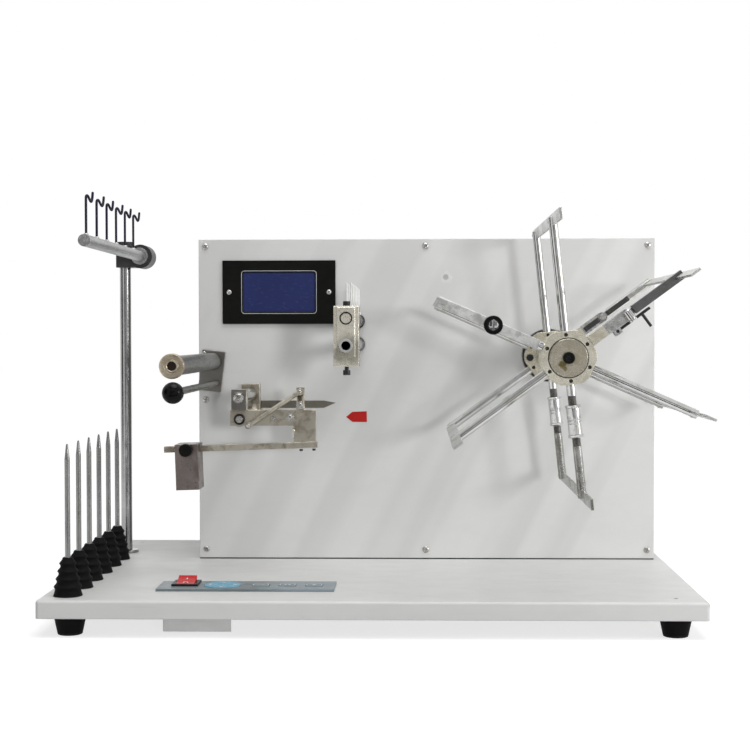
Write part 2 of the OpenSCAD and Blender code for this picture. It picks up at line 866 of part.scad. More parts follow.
module cabinet_shell() color("gainsboro")
  difference() {
    box([panel_x0, shell_y0, base_z], [panel_x1, shell_y1, panel_z1]);
    box([panel_x0 + sheet_t, shell_y0 + sheet_t, base_z + sheet_t],
      [panel_x1 - sheet_t, shell_y1 - sheet_t, panel_z1 - sheet_t]);
    shell_windows(1);
    for (p = case_screw_places)
      at_xz(p[0], p[1])
        y_bar(case_screw_d + screw_fit, shell_y0 - 1, shell_y1 + 1);
    for (p = floor_screw_places)
      translate([p[0], p[1], base_z - 1])
        cylinder(d = case_screw_d + screw_fit, h = sheet_t + 2);
    at_xz(tension_x, tension_z)
      y_bar(pivot_collar_d + 2, shell_y0 - 1, shell_y0 + sheet_t + 1);
  }

module front_panel() color("gainsboro")
  difference() {
    box([panel_x0, panel_y, base_z], [panel_x1, shell_y0, panel_z1]);
    for (p = case_screw_places)
      panel_hole(p[0], p[1], case_screw_d + screw_fit);
    for (s = [-1, 1])
      panel_hole(display_x + s * display_screw_gap / 2, display_z, case_screw_d + screw_fit);
    box([display_x - window_w / 2 - module_play, panel_y - 1, display_z - window_h / 2 - module_play],
      [display_x + window_w / 2 + module_play, shell_y0 + 1, display_z + window_h / 2 + module_play]);
    panel_hole(hub_x, hub_z, housing_d + 2 * screw_fit);
    panel_hole(tension_x, tension_z, tension_pivot_d + 2 * run_fit);
    panel_hole(balance_x, balance_z, pivot_d + screw_fit);
    panel_hole(traverse_x, traverse_z, traverse_rod_d + 4);
    panel_hole(traverse_x, tube_z, tube_d + screw_fit);
  }

module panel_hole(x, z, d) {
  at_xz(x, z)
    y_bar(d, panel_y - 1, shell_y0 + 1);
}

module back_cover() color("gainsboro")
  difference() {
    box([panel_x0, shell_y1, base_z], [panel_x1, cover_y1, panel_z1]);
    for (p = case_screw_places)
      at_xz(p[0], p[1])
        y_bar(case_screw_d + screw_fit, shell_y1 - 1, cover_y1 + 1);
    for (side = [0.3, 0.7], i = [-4:4])
      translate([panel_x0 + side * panel_w, 0, (base_z + panel_z1) / 2 + i * vent_pitch])
        box([-vent_l / 2, shell_y1 - 1, -vent_h / 2], [vent_l / 2, cover_y1 + 1, vent_h / 2]);
    box([inlet_x - inlet_body_w / 2 - free_gap, shell_y1 - 1, inlet_z - inlet_body_h / 2 - free_gap],
      [inlet_x + inlet_body_w / 2 + free_gap, cover_y1 + 1, inlet_z + inlet_body_h / 2 + free_gap]);
  }

module case_screws() color("silver") {
  for (p = case_screw_places) {
    translate([p[0], panel_y, p[1]])
      pan_screw(case_screw_d, case_head_d, case_head_h, case_screw_l);
    translate([p[0], cover_y1, p[1]])
      rotate([0, 0, 180])
        pan_screw(case_screw_d, case_head_d, case_head_h, case_screw_l);
  }
  for (s = [-1, 1])
    translate([display_x + s * display_screw_gap / 2, display_y, display_z])
      pan_screw(case_screw_d, 0.75 * case_head_d, 0.6 * case_head_h, case_screw_l);
  for (p = floor_screw_places)
    translate([p[0], p[1], base_z + sheet_t])
      rotate([-90, 0, 0])
        pan_screw(case_screw_d, case_head_d, case_head_h, 2 * sheet_t);
}

module display_plate(w, h, r, y0, y1) {
  translate([display_x, y1, display_z])
    rotate([90, 0, 0])
      linear_extrude(y1 - y0)
        round_rect(w, h, r);
}

module display_bezel() color("#141416")
  difference() {
    box([display_x - display_w / 2, display_y, display_z - display_h / 2],
      [display_x + display_w / 2, panel_y, display_z + display_h / 2]);
    display_plate(window_w, window_h, window_r, display_y - 1, panel_y + 1);
    for (s = [-1, 1])
      at_xz(display_x + s * display_screw_gap / 2, display_z)
        y_bar(case_screw_d + screw_fit, display_y - 1, panel_y + 1);
  }

module display_window() color("#2b3160")
  display_plate(window_w - 2 * free_gap, window_h - 2 * free_gap, window_r, display_y + 0.6, panel_y);

module control_board() color("#2f6b45") {
  board_y = shell_y0 + board_gap;
  board_t = 1.6;
  relay = [40, 24, 30];
  box([display_x - window_w / 2, panel_y, display_z - window_h / 2],
    [display_x + window_w / 2, board_y, display_z + window_h / 2]);
  box([display_x - board_w / 2, board_y, display_z - board_h / 2],
    [display_x + board_w / 2, board_y + board_t, display_z + board_h / 2]);
  for (sx = [-1, 1], sz = [-1, 1])
    at_xz(display_x + sx * (board_w / 2 - 6), display_z + sz * (board_h / 2 - 6))
      y_bar(6, shell_y0, board_y);
  translate([display_x - relay[0] / 2, board_y + board_t, display_z - relay[2] / 2])
    cube(relay);
}

module keypad_strip() color("#8d9ba6")
  difference() {
    box([strip_x0, strip_y0, base_z], [strip_x0 + strip_w, strip_y0 + strip_d, strip_top]);
    switch_opening(base_z - 1, strip_top + 1);
    translate([pad_x, strip_mid_y, base_z - 1])
      cylinder(d = pad_d + 2 * free_gap, h = strip_t + 2);
    for (x = key_xs)
      box([x - key_w / 2 - free_gap, strip_mid_y - key_d / 2 - free_gap, base_z - 1],
        [x + key_w / 2 + free_gap, strip_mid_y + key_d / 2 + free_gap, strip_top + 1]);
  }

module switch_frame() color("#151515")
  difference() {
    union() {
      box([switch_x - switch_w / 2, switch_y - switch_d / 2, strip_top],
        [switch_x + switch_w / 2, switch_y + switch_d / 2, strip_top + switch_rim]);
      box([switch_x - well_w / 2 - switch_wall, switch_y - well_l / 2 - switch_wall, switch_bottom],
        [switch_x + well_w / 2 + switch_wall, switch_y + well_l / 2 + switch_wall, strip_top]);
    }
    box([switch_x - well_w / 2, switch_y - well_l / 2, strip_top - 9],
      [switch_x + well_w / 2, switch_y + well_l / 2, strip_top + switch_rim + 1]);
    translate([switch_x, switch_y, rocker_z])
      x_bar(rocker_pin_d + 2 * run_fit, -rocker_pin_end - free_gap, rocker_pin_end + free_gap);
  }

module power_rocker() color("#b3262b")
  translate([switch_x, switch_y, rocker_z])
    rotate([rocker_tilt, 0, 0]) {
      h = rocker_l / 2;
      rotate([90, 0, 90])
        translate([0, 0, -rocker_w / 2])
          linear_extrude(rocker_w)
            polygon([[-h, 4.6], [-h, 1], [-0.8 * h, -3.6], [0.8 * h, -3.6], [h, 1], [h, 4.6], [0, 3.4]]);
      x_bar(rocker_pin_d, -rocker_pin_end, rocker_pin_end);
    }

module wiring_box() color("#8a8c8e")
  difference() {
    union() {
      box([wire_box_x0, wire_box_y0, wire_box_lift],
        [wire_box_x0 + wire_box_w, wire_box_y0 + wire_box_wall, tray_under]);
      box([wire_box_x0, wire_box_y0, wire_box_lift], [wire_box_x1, wire_box_y0 + wire_box_d, tray_under]);
    }
    box([wire_box_x0 + wire_box_wall, wire_box_y0 + wire_box_wall, wire_box_lift + wire_box_wall],
      [wire_box_x1 - wire_box_wall, wire_box_y0 + wire_box_d - wire_box_wall, tray_under + 1]);
  }

module mains_inlet() color("#1b1b1c")
  translate([inlet_x, cover_y1, inlet_z]) {
    difference() {
      union() {
        box([-inlet_w / 2, 0, -inlet_h / 2], [inlet_w / 2, 3, inlet_h / 2]);
        box([-inlet_body_w / 2, -16, -inlet_body_h / 2], [inlet_body_w / 2, 0, inlet_body_h / 2]);
      }
      box([-inlet_body_w / 2 + 2, -13, -inlet_body_h / 2 + 2],
        [inlet_body_w / 2 - 2, 4, inlet_body_h / 2 - 2]);
    }
    for (i = [-1:1])
      box([7 * i - 1, -14, (i == 0 ? 2 : -2) - 2], [7 * i + 1, -3, (i == 0 ? 2 : -2) + 2]);
  }

// Key caps that slide in the strip's openings

module key_cap(x) {
  box([x - key_w / 2, strip_mid_y - key_d / 2, key_bottom],
    [x + key_w / 2, strip_mid_y + key_d / 2, strip_top + key_proud]);
}

module arrow_pad() color("#5fa3c8")
  translate([pad_x, strip_mid_y, key_bottom])
    cylinder(d = pad_d, h = strip_top + key_proud - key_bottom);

module left_key() color("#86a6b8")
  key_cap(key_xs[0]);

module middle_key() color("#86a6b8")
  key_cap(key_xs[1]);

module right_key() color("#86a6b8")
  key_cap(key_xs[2]);

// Creel

module spindle_pins() color("#a8a8a6")
  for (y = spindle_ys)
    translate([creel_x, y, base_z])
      difference() {
        union() {
          cylinder(d = spindle_hub_d, h = spindle_hub_h);
          cylinder(d = cone_seat_d, h = cone_h);
        cylinder(d = spindle_d, h = spindle_h - point_l);
          translate([0, 0, spindle_h - point_l])
            cylinder(d1 = spindle_d, d2 = tip_d, h = point_l);
        }
        translate([0, 0, -1])
          cylinder(d = weld_stud_d + 2 * run_fit, h = weld_stud_h + 1 + free_gap);
      }

// Radius of a cone's tier at its upper rim
function tier_r(i) = cone_top_d / 2 + (cone_base_d - cone_top_d) / 2 * i / cone_tiers;

module spindle_cones() color("#1c1c1d")
  for (y = spindle_ys)
    translate([creel_x, y, base_z])
      difference() {
        rotate_extrude()
          polygon(concat([[0, cone_h]],
            [for (i = [0:cone_tiers - 1], e = [0, 1])
              [e == 0 ? tier_r(i) : tier_r(i + 1) + (i < cone_tiers - 1 ? cone_step : 0),
              cone_h * (1 - (i + e) / cone_tiers) + (e == 1 && i < cone_tiers - 1 ? 1.2 : 0)]],
            [[0, 0]]));
        translate([0, 0, -1])
          cylinder(d = cone_seat_d + 2 * run_fit, h = cone_h + 2);
        translate([0, 0, -1])
          cylinder(d = spindle_hub_d + 2 * run_fit, h = spindle_hub_h + 1 + free_gap);
      }

module creel_post() color("#c9c9c7")
  translate([creel_x, post_y, 0]) {
    nut_h = 8;
    translate([0, 0, base_z])
      cylinder(d = post_flange_d, h = post_flange_t);
    translate([0, 0, base_z])
      cylinder(d = post_d, h = post_h);
    translate([0, 0, tray_under - nut_h - 3])
      cylinder(d = post_spigot_d, h = nut_h + 3 + sheet_t + 1);
    translate([0, 0, tray_under - nut_h])
      difference() {
        cylinder(d = 1.9 * post_spigot_d, h = nut_h, $fn = 6);
        translate([0, 0, -1])
          cylinder(d = post_spigot_d + screw_fit, h = nut_h + 2);
      }
  }

module cross_clamp() color("#161617")
  difference() {
    union() {
      at_xz(bar_x, bar_z)
        y_bar(2 * clamp_r, clamp_y0, clamp_y1);
      box([creel_x - clamp_left, clamp_y0, bar_z - clamp_drop],
        [bar_x, clamp_y1, bar_z + clamp_drop]);
      translate([creel_x, post_y, bar_z - clamp_drop])
        cylinder(d = clamp_sleeve_d, h = 2 * clamp_drop + clamp_sleeve_rise);
    }
    at_xz(bar_x, bar_z)
      y_bar(bar_d + 2 * run_fit, clamp_y0 - 1, clamp_y1 + 1);
    translate([creel_x, post_y, bar_z - clamp_drop - 1])
      cylinder(d = post_d + 2 * run_fit, h = 2 * clamp_drop + clamp_sleeve_rise + 2);
  }

module hook_bar() color("#b5b5b4")
  difference() {
    at_xz(bar_x, bar_z) {
      y_bar(bar_d, bar_y0, clamp_y1 + free_gap + shoulder_t);
      y_bar(shoulder_d, clamp_y0 - free_gap - shoulder_t, clamp_y0 - free_gap);
      y_bar(shoulder_d, clamp_y1 + free_gap, clamp_y1 + free_gap + shoulder_t);
    }
    for (y = spindle_ys)
      translate([bar_x, y, bar_z - 1])
        cylinder(d = hook_wire_d + screw_fit, h = bar_d);
  }

module yarn_hooks() color("#121213")
  for (y = spindle_ys)
    translate([bar_x, y, bar_z]) {
      crown_l = [0, 0, hook_crown - hook_wire_d / 2];
      crown_r = [0.3 * hook_reach, 0.3 * hook_lead, crown_l[2]];
      dip = [0.75 * hook_reach, 0.7 * hook_lead, hook_crown - hook_dip + hook_wire_d / 2];
      tip = [hook_reach, hook_lead, hook_crown + hook_rise];
      foot = [0, 0, free_gap - 1];
      for (leg = [[foot, crown_l], [crown_l, crown_r], [crown_r, dip], [dip, tip]])
        strut(leg[0], leg[1], hook_wire_d);
      for (p = [crown_l, crown_r, dip, tip])
        translate(p)
          sphere(d = hook_wire_d + screw_fit);
    }

// Yarn tension rods, which turn together on the panel

module tension_plate() color("#9a9a98")
  translate([tension_x, 0, tension_z]) {
    rotate([0, tension_lean, 0])
      box([-tension_plate_w / 2, tension_plate_y0, -tension_plate_drop],
        [tension_plate_w / 2, tension_plate_y0 + tension_plate_t, tension_plate_rise]);
    y_bar(tension_pivot_d, tension_plate_y0, shell_y0 + free_gap + pivot_collar_t);
    y_bar(pivot_collar_d, shell_y0 + free_gap, shell_y0 + free_gap + pivot_collar_t);
  }

module tension_rods() color("#a5a5a6")
  translate([tension_x, 0, tension_z]) {
    y_bar(tension_rod_d, panel_y - tension_reach, tension_plate_y0);
    at_xz(lever_side, -lever_drop)
      y_bar(lever_rod_d, panel_y - ball_reach, tension_plate_y0);
  }

module tension_cap() color("#a08f78")
  translate([tension_x, panel_y - tension_reach, tension_z])
    difference() {
      union() {
        translate([0, 1.5 - tension_cap_t, 0])
          y_bar(tension_cap_d, 0, tension_cap_t - 1.5);
        translate([0, -tension_cap_t, 0])
          rotate([-90, 0, 0])
            cylinder(d1 = tension_cap_d - 3, d2 = tension_cap_d, h = 1.5);
      }
      y_bar(tension_socket_d, -tension_cap_t - 1, -2);
    }

module ball_knob() color("#101011")
  translate([tension_x + lever_side, panel_y - ball_reach, tension_z - lever_drop])
    difference() {
      union() {
        sphere(d = ball_d);
        y_bar(1.5 * lever_rod_d, 0, ball_d / 2 + 1);
      }
      y_bar(lever_rod_d + 2 * run_fit, 0, ball_d);
    }

// Tension balance

module balance_pivot() color("#b8b8b6")
  at_xz(balance_x, balance_z) {
    y_bar(pivot_d, lever_y0 - 3, shell_y0 + pivot_flange_t + 2);
    y_bar(pivot_flange_d, panel_y - pivot_flange_t, panel_y);
    y_bar(2 * pivot_d, shell_y0, shell_y0 + pivot_flange_t);
  }

module balance_lever() color("#8f8372")
  difference() {
    union() {
      at_xz(balance_x, balance_z)
        y_bar(balance_tube_d, lever_y0, rear_block_y1);
      box([balance_x - lever_left, lever_y0, lever_top - lever_arm_h],
        [balance_x + lever_right, lever_y1, lever_top]);
      box([leg_x - lever_leg_w / 2, lever_y0, beam_z],
        [leg_x + lever_leg_w / 2, lever_y1, lever_top]);
      box([balance_x - front_block_w / 2, front_block_y0, lever_top],
        [balance_x + front_block_w / 2, front_block_y1, roller_z + front_block_rise]);
      box([balance_x - front_block_w / 2, lever_y0, balance_z],
        [balance_x + front_block_w / 2, front_block_y1, roller_z]);
      box([balance_x - rear_block_w / 2, rear_block_y0, balance_z],
        [balance_x + rear_block_w / 2, rear_block_y1, roller_z + rear_block_rise]);
      box([balance_x + stay_head[0] - tab_w / 2, lever_y1 - 2, balance_z],
        [balance_x + stay_head[0] + tab_w / 2, lever_y1, balance_z + stay_head[1] + tab_w / 2]);
    }
    at_xz(balance_x, balance_z)
      y_bar(pivot_d + 2 * run_fit, front_block_y0 - 1, panel_y);
    at_xz(balance_x, roller_z)
      y_bar(roller_axle_d + 2 * run_fit, front_block_y0 - 1, rear_block_y1 + 1);
    on_beam()
      box([beam_left, lever_y0 - 1, -beam_h], [beam_right + 4, lever_y1 + 1, beam_h / 2]);
  }

module balance_beam() color("#a9a39a") {
  on_beam()
    box([beam_left, lever_y0, -beam_h / 2], [beam_right, lever_y0 + beam_t, beam_h / 2]);
  translate([balance_x, 0, balance_z]) {
    strut([stay_foot[0], stay_y, stay_foot[1]], [stay_head[0], stay_y, stay_head[1]], stay_d);
    at_xz(stay_foot[0], stay_foot[1])
      y_bar(stay_eye_d, stay_y - stay_d / 2, lever_y0);
    at_xz(stay_head[0], stay_head[1])
      y_bar(stay_eye_d, stay_y - stay_d / 2, lever_y1 - 2);
  }
}

module yarn_roller() color("#c4c4c2")
  at_xz(balance_x, roller_z) {
    y_bar(roller_d, front_block_y1 + free_gap, rear_block_y0 - free_gap);
    y_bar(roller_axle_d, front_block_y0 - free_gap - 1, rear_block_y1);
    y_bar(2.8 * roller_axle_d, front_block_y0 - free_gap - 4, front_block_y0 - free_gap);
  }

module pointer() color("#3a3a3c")
  translate([balance_x, rear_block_y1 + pointer_t, balance_z + pointer_above])
    rotate([90, 0, 0])
      linear_extrude(pointer_t)
        polygon([[-rear_block_w / 2, -pointer_h / 2], [pointer_reach - pointer_tip_l, -pointer_h / 2],
            [pointer_reach, 0.2 * pointer_h], [pointer_reach - pointer_tip_l, pointer_h / 2],
            [-rear_block_w / 2, pointer_h / 2]]);

module poise_weight() color("#6d6663")
  on_beam()
    difference() {
      box([poise_mid - poise_w / 2, lever_y0 + beam_t / 2 - poise_d / 2, beam_h / 2 + 3 - poise_h],
        [poise_mid + poise_w / 2, lever_y0 + beam_t / 2 + poise_d / 2, beam_h / 2 + 3]);
      box([poise_mid - poise_w, lever_y0 - free_gap, -beam_h / 2 - free_gap],
        [poise_mid + poise_w, lever_y0 + beam_t + free_gap, beam_h / 2 + free_gap]);
      translate([poise_mid, 0, 0])
        y_bar(thumb_thread_d + screw_fit, lever_y0 - poise_d, lever_y0);
    }

module thumb_screw() color("#121213")
  on_beam()
    translate([poise_mid, lever_y0 + beam_t / 2 - poise_d / 2, 0]) {
      y_bar(thumb_d, -thumb_l, 0);
      y_bar(thumb_thread_d, -thumb_l / 2, poise_d / 2 - beam_t / 2 - free_gap);
    }

// Traverse guide

module traverse_tube() color("#b9b6aa")
  at_xz(traverse_x, tube_z)
    difference() {
      union() {
        y_bar(tube_d, traverse_y0 - 1, tube_y1);
        y_bar(tube_d + 5, panel_y - 5, panel_y);
        y_bar(tube_d + 8, shell_y0, tube_y1 - 2);
        y_bar(tube_d + 6, end_block_y1, end_block_y1 + 5);
      }
      y_bar(tube_bore_d, traverse_y0 - 2, tube_y1 + 1);
    }

module traverse_bracket() color("#b3ae9d")
  difference() {
    union() {
      box([traverse_x - end_plate_w / 2, traverse_y0, tube_z - end_plate_edge],
        [traverse_x + end_plate_w / 2, end_block_y0, traverse_z + end_plate_edge]);
      box([traverse_x - end_block_w / 2, end_block_y0, tube_z - end_block_drop],
        [traverse_x + end_block_w / 2, end_block_y1, traverse_z + end_block_rise]);
    }
    at_xz(traverse_x, traverse_z) {
      y_bar(traverse_rod_d + 2 * run_fit, traverse_y0 - 1, end_block_y1 + 1);
      y_bar(traverse_rod_d + 2.4, traverse_y0 - 1, traverse_y0 + 2);
    }
    at_xz(traverse_x, tube_z)
      y_bar(tube_d + screw_fit, traverse_y0 - 2, end_block_y1 + 1);
    translate([traverse_x, end_block_y0 + end_block_d / 2, tube_z - end_block_drop - 1])
      cylinder(d = cap_screw_d + screw_fit, h = end_block_drop);
    translate([traverse_x, end_block_y0 + end_block_d / 2, traverse_z])
      cylinder(d = cap_screw_d + screw_fit, h = end_block_rise + 1);
  }

module cap_screw(shank, stand) {
  translate([0, 0, stand])
    cylinder(d = cap_head_d, h = cap_head_h);
  translate([0, 0, -shank])
    cylinder(d = cap_screw_d, h = shank + stand + 1);
}

module traverse_screws() color("#121213")
  translate([traverse_x, end_block_y0 + end_block_d / 2, 0]) {
    translate([0, 0, traverse_z + end_block_rise])
      cap_screw(end_block_rise - traverse_rod_d / 2 - 1, 0);
    translate([0, 0, tube_z - end_block_drop])
      rotate([180, 0, 0])
        cap_screw(end_block_drop - tube_d / 2 - 1, 4.5);
  }

module traverse_rod() color("#c2c2bd") {
  at_xz(traverse_x, traverse_z) {
    y_bar(traverse_rod_d, traverse_y0 + 0.5, follower_y + follower_d / 2 + 6);
    for (y = fork_ys)
      y_bar(collar_d, y - collar_w / 2, y + collar_w / 2);
  }
  translate([traverse_x, follower_y, cam_bottom])
    cylinder(d = follower_d, h = traverse_z - cam_bottom);
}

module yarn_forks() color("#f4f3ee")
  for (y = fork_ys)
    translate([traverse_x, y, traverse_z])
      rotate([0, 0, fork_turn]) {
        foot_z = collar_d / 2;
        base_t = 5;
        prong_h = fork_h - foot_z - base_t - prong_d / 2;
        base_x = 3.5;
        base_y = (prong_gap + prong_d) / 2;
        box([-base_x, -base_y, foot_z], [base_x, base_y, foot_z + base_t]);
        for (s = [-1, 1])
          translate([0, s * prong_gap / 2, foot_z + base_t]) {
            cylinder(d = prong_d, h = prong_h);
            translate([0, 0, prong_h])
              sphere(d = prong_d);
          }
      }

// Cam radius at an angle from the follower, rising at a steady rate for half a turn
function cam_r(a) = cam_min_r + traverse_stroke * min(a, 360 - a) / 180;

module heart_cam() color("#8c8f92")
  translate([traverse_x, cam_y, cam_bottom])
    difference() {
      union() {
        linear_extrude(cam_t)
          polygon([for (a = [0:3:357]) cam_r(a) * [sin(a), -cos(a)]]);
        translate([0, 0, -6])
          cylinder(d = 2.5 * cam_shaft_d, h = 6);
      }
      translate([0, 0, -7])
        cylinder(d = cam_shaft_d + 2 * run_fit, h = cam_t + 8);
    }

module traverse_motor() color("#55585b") {
  shelf_z = cam_bottom - 6 - free_gap - shelf_t;
  wing = 46;
  translate([traverse_x, cam_y, shelf_z - cam_motor_h])
    cylinder(d = cam_motor_d, h = cam_motor_h);
  translate([traverse_x, cam_y, shelf_z])
    cylinder(d = cam_shaft_d, h = cam_top - shelf_z - 1);
  box([traverse_x - wing, tube_y1 + 2, shelf_z],
      [traverse_x + cam_motor_d / 2, cam_y + cam_motor_d / 2, shelf_z + shelf_t]);
  box([traverse_x - wing, shell_y0, shelf_z], [traverse_x - tube_d, tube_y1 + 3, shelf_z + shelf_t]);
  box([traverse_x - wing, shell_y0, shelf_z - wing], [traverse_x - tube_d, shell_y0 + shelf_t, shelf_z]);
}

// Reel

module slotted_rod(r0) {
  difference() {
    x_bar(rod_d, r0, rod_out);
    rod_slot();
  }
}

module rod_slot() {
  box([winding_in - screw_fit, -rod_d, -winding_t / 2 - run_fit],
      [rod_out + 1, rod_d, winding_t / 2 + run_fit]);
}

module winding_bar() {
  box([winding_in, winding_y0, -winding_t / 2], [reel_r, winding_y1, winding_t / 2]);
}

module reel_shaft() color("#b4b4b2")
  at_xz(hub_x, hub_z) {
    difference() {
      y_bar(shaft_d, hub_y0 + cap_seat, pulley_y1 + 4);
      y_bar(hub_screw_d + screw_fit, hub_y0, hub_y0 + cap_seat + 22);
    }
    difference() {
      y_bar(reel_pulley_d, pulley_y0, pulley_y1);
      y_bar(shaft_d + 2 * run_fit, pulley_y0 - 1, pulley_y1 + 1);
    }
  }

module hub_block(y0, y1) {
  intersection() {
    y_bar(2 * hub_r, y0, y1);
    rotate([0, 30, 0])
      translate([0, y0, 0])
        rotate([-90, 0, 0])
          cylinder(d = hub_flats / cos(30), h = y1 - y0, $fn = 6);
  }
}

module reel_hub() color("#b9ae92")
  on_arm(0)
    difference() {
      union() {
        hub_block(hub_y0, hub_y1);
        y_bar(hub_tube_d, hub_y1 - 1, rear_hub_y0 + 1);
        hub_block(rear_hub_y0, rear_hub_y1);
        y_bar(hub_rim_d, rear_hub_y1, rear_hub_y1 + hub_rim_t);
      }
      y_bar(shaft_d + 2 * run_fit, hub_y0 - 1, rear_hub_y1 + hub_rim_t + 1);
      y_bar(cap_d + 1, hub_y0 - 1, hub_y0 + cap_seat);
      for (k = [0:5])
        rotate([0, arm_step * k, 0]) {
          for (y = rod_ys)
            translate([0, y, 0])
              x_bar(rod_d + screw_fit, rod_in - 0.5, hub_r + 1);
          translate([set_screw_r, 0, 0]) {
            y_bar(set_screw_d + screw_fit, hub_y0 - 1, front_rod_y);
            y_bar(set_screw_d + screw_fit, rear_hub_y0 - 1, rear_rod_y);
          }
        }
    }

module hub_cap() color("#c2bfb8")
  at_xz(hub_x, hub_z)
    difference() {
      y_bar(cap_d, hub_y0 - cap_proud, hub_y0 + cap_seat);
      y_bar(hub_screw_d + screw_fit, hub_y0 - cap_proud - 1, hub_y0 + cap_seat + 1);
    }

module hub_screws() color("#141414") {
  head_y = hub_y0 - cap_proud;
  at_xz(hub_x, hub_z)
    difference() {
      union() {
        y_bar(hub_screw_head_d, head_y - hub_screw_head_h, head_y);
        y_bar(hub_screw_d, head_y - 1, hub_y0 + cap_seat + 20);
      }
      translate([0, head_y - hub_screw_head_h - 1, 0])
        rotate([-90, 0, 0])
          cylinder(d = 0.55 * hub_screw_head_d, h = 0.6 * hub_screw_head_h + 1, $fn = 6);
    }
  for (k = [0:5])
    on_arm(k)
      translate([set_screw_r, 0, 0]) {
        y_bar(set_screw_d, hub_y0 + 0.6, front_rod_y - rod_d / 2 - free_gap);
        y_bar(set_screw_d, rear_hub_y0 + 0.6, rear_rod_y - rod_d / 2 - free_gap);
      }
  for (k = [0.5, 2.5, 4.5])
    on_arm(k)
      translate([set_screw_r, 0, 0])
        y_bar(2 * set_screw_d, rear_hub_y0 - 4, rear_hub_y0);
}

module arm_rods() color("#cfcfcd") {
  for (k = plain_arms, y = rod_ys)
    on_arm(k)
      translate([0, y, 0])
        slotted_rod(rod_in);
  on_arm(clip_k)
    translate([0, rear_rod_y, 0])
      slotted_rod(rod_in);
  on_arm(clip_k)
    translate([0, front_rod_y, 0])
      difference() {
        union() {
          x_bar(rod_d, rod_in, hub_r + 4);
          box([hub_r + 2, -clip_plate_t / 2, -clip_plate_w / 2],
              [rod_out, clip_plate_t / 2, clip_plate_w / 2]);
        }
        rod_slot();
      }
  for (y = rod_ys)
    on_arm(adjust_k)
      translate([0, y, 0])
        x_bar(rod_d, rod_in, sleeve_r0);
}

module winding_bars() color("#b9b9b7")
  for (k = concat(plain_arms, [clip_k]))
    on_arm(k)
      winding_bar();

module yarn_clip() color("#171717")
  on_arm(clip_k)
    translate([clip_r, front_rod_y - clip_plate_t / 2, 0]) {
      head_d = 0.58 * clip_d;
      y_bar(clip_d, -clip_t, 0);
      difference() {
        y_bar(head_d, -clip_t - 2.5, -clip_t);
        box([-1, -clip_t - 3, -head_d], [1, -clip_t - 1.2, head_d]);
      }
    }

// Arm whose two sleeves set the reel's perimeter

module adjusting_arm() color("#bdbdba")
  on_arm(adjust_k) {
    for (y = rod_ys)
      translate([0, y, 0])
        slotted_rod(sleeve_r1);
    winding_bar();
  }

module sleeve(y) {
  on_arm(adjust_k)
    translate([0, y, 0])
      difference() {
        union() {
          x_bar(sleeve_d, sleeve_near, sleeve_far);
          x_bar(sleeve_collar_d, sleeve_near, sleeve_near + sleeve_collar_w);
          x_bar(sleeve_collar_d, sleeve_far - sleeve_collar_w, sleeve_far);
        }
        x_bar(rod_d + 2 * run_fit, sleeve_near - 1, sleeve_far + 1);
      }
}

module front_sleeve() color("#b0b0ae")
  sleeve(front_rod_y);

module rear_sleeve() color("#b0b0ae")
  sleeve(rear_rod_y);

// Arm that folds at its knee to slacken the skeins

module knee_fork(root_w) {
  difference() {
    union() {
      x_bar(rod_d, rod_in, root_x + 1);
      box([root_x, -root_w / 2, -root_w / 2], [root_x + root_block_l, root_w / 2, root_w / 2]);
      for (s = [-1, 1])
        translate([0, s * (fork_gap + cheek_t) / 2, 0]) {
          box([root_x + root_block_l - 2, -cheek_t / 2, -knee_end_r], [knee_r, cheek_t / 2, knee_end_r]);
          translate([knee_r, 0, 0])
            y_bar(2 * knee_end_r, -cheek_t / 2, cheek_t / 2);
        }
    }
    translate([knee_r, 0, 0])
      y_bar(knee_pin_d + 2 * run_fit, -cheek_y - 1, cheek_y + 1);
  }
}

module release_ears() {
  for (s = [-1, 1])
    translate([release_pivot, s * (release_w / 2 + free_gap + ear_t / 2), release_z])
      difference() {
        box([-4.5, -ear_t / 2, -4], [4.5, ear_t / 2, -release_z - knee_end_r + 1]);
        y_bar(release_pivot_d + 2 * run_fit, -ear_t, ear_t);
      }
}

module knee_forks() color("#b3a888")
  on_arm(fold_k) {
    translate([0, front_rod_y, 0]) {
      knee_fork(2 * cheek_y);
      release_ears();
    }
    translate([0, rear_rod_y, 0])
      knee_fork(2 * cheek_y);
  }

module knee_pins() color("#a2a2a0")
  on_arm(fold_k)
    for (y = rod_ys)
      translate([knee_r, y, 0]) {
        y_bar(knee_pin_d, -cheek_y - 1, cheek_y);
        y_bar(1.6 * knee_pin_d, -cheek_y - 2.5, -cheek_y);
      }

module folding_arm() color("#6f7072")
  on_arm(fold_k) {
    eye_w = fork_gap - 2 * free_gap;
    rod_start = knee_r + knee_end_r + 2;
    for (y = rod_ys)
      translate([0, y, 0])
        difference() {
          union() {
            translate([knee_r, 0, 0])
              y_bar(2 * knee_end_r - 1, -eye_w / 2, eye_w / 2);
            box([knee_r, -eye_w / 2, -3.5], [rod_start + 1, eye_w / 2, 3.5]);
            if (y == front_rod_y)
              box([rod_start, -rod_d / 2, -fold_flat_w / 2], [rod_out, rod_d / 2, fold_flat_w / 2]);
            else
              x_bar(rod_d, rod_start, rod_out);
          }
          translate([knee_r, 0, 0])
            y_bar(knee_pin_d + 2 * run_fit, -eye_w, eye_w);
          rod_slot();
        }
    winding_bar();
  }

module release_lever() color("#26272a")
  on_arm(fold_k)
    translate([0, front_rod_y, release_z]) {
      handle_x = release_far - 11;
      box([release_pivot - 4, -release_w / 2, -release_t / 2], [release_far, release_w / 2, release_t / 2]);
      translate([release_pivot, 0, 0])
        y_bar(release_pivot_d, -release_w / 2 - ear_t, release_w / 2 + ear_t);
      translate([handle_x, 0, -release_t / 2 - release_pin_l])
        cylinder(d = release_pin_d, h = release_pin_l + 1);
    }

// Drive

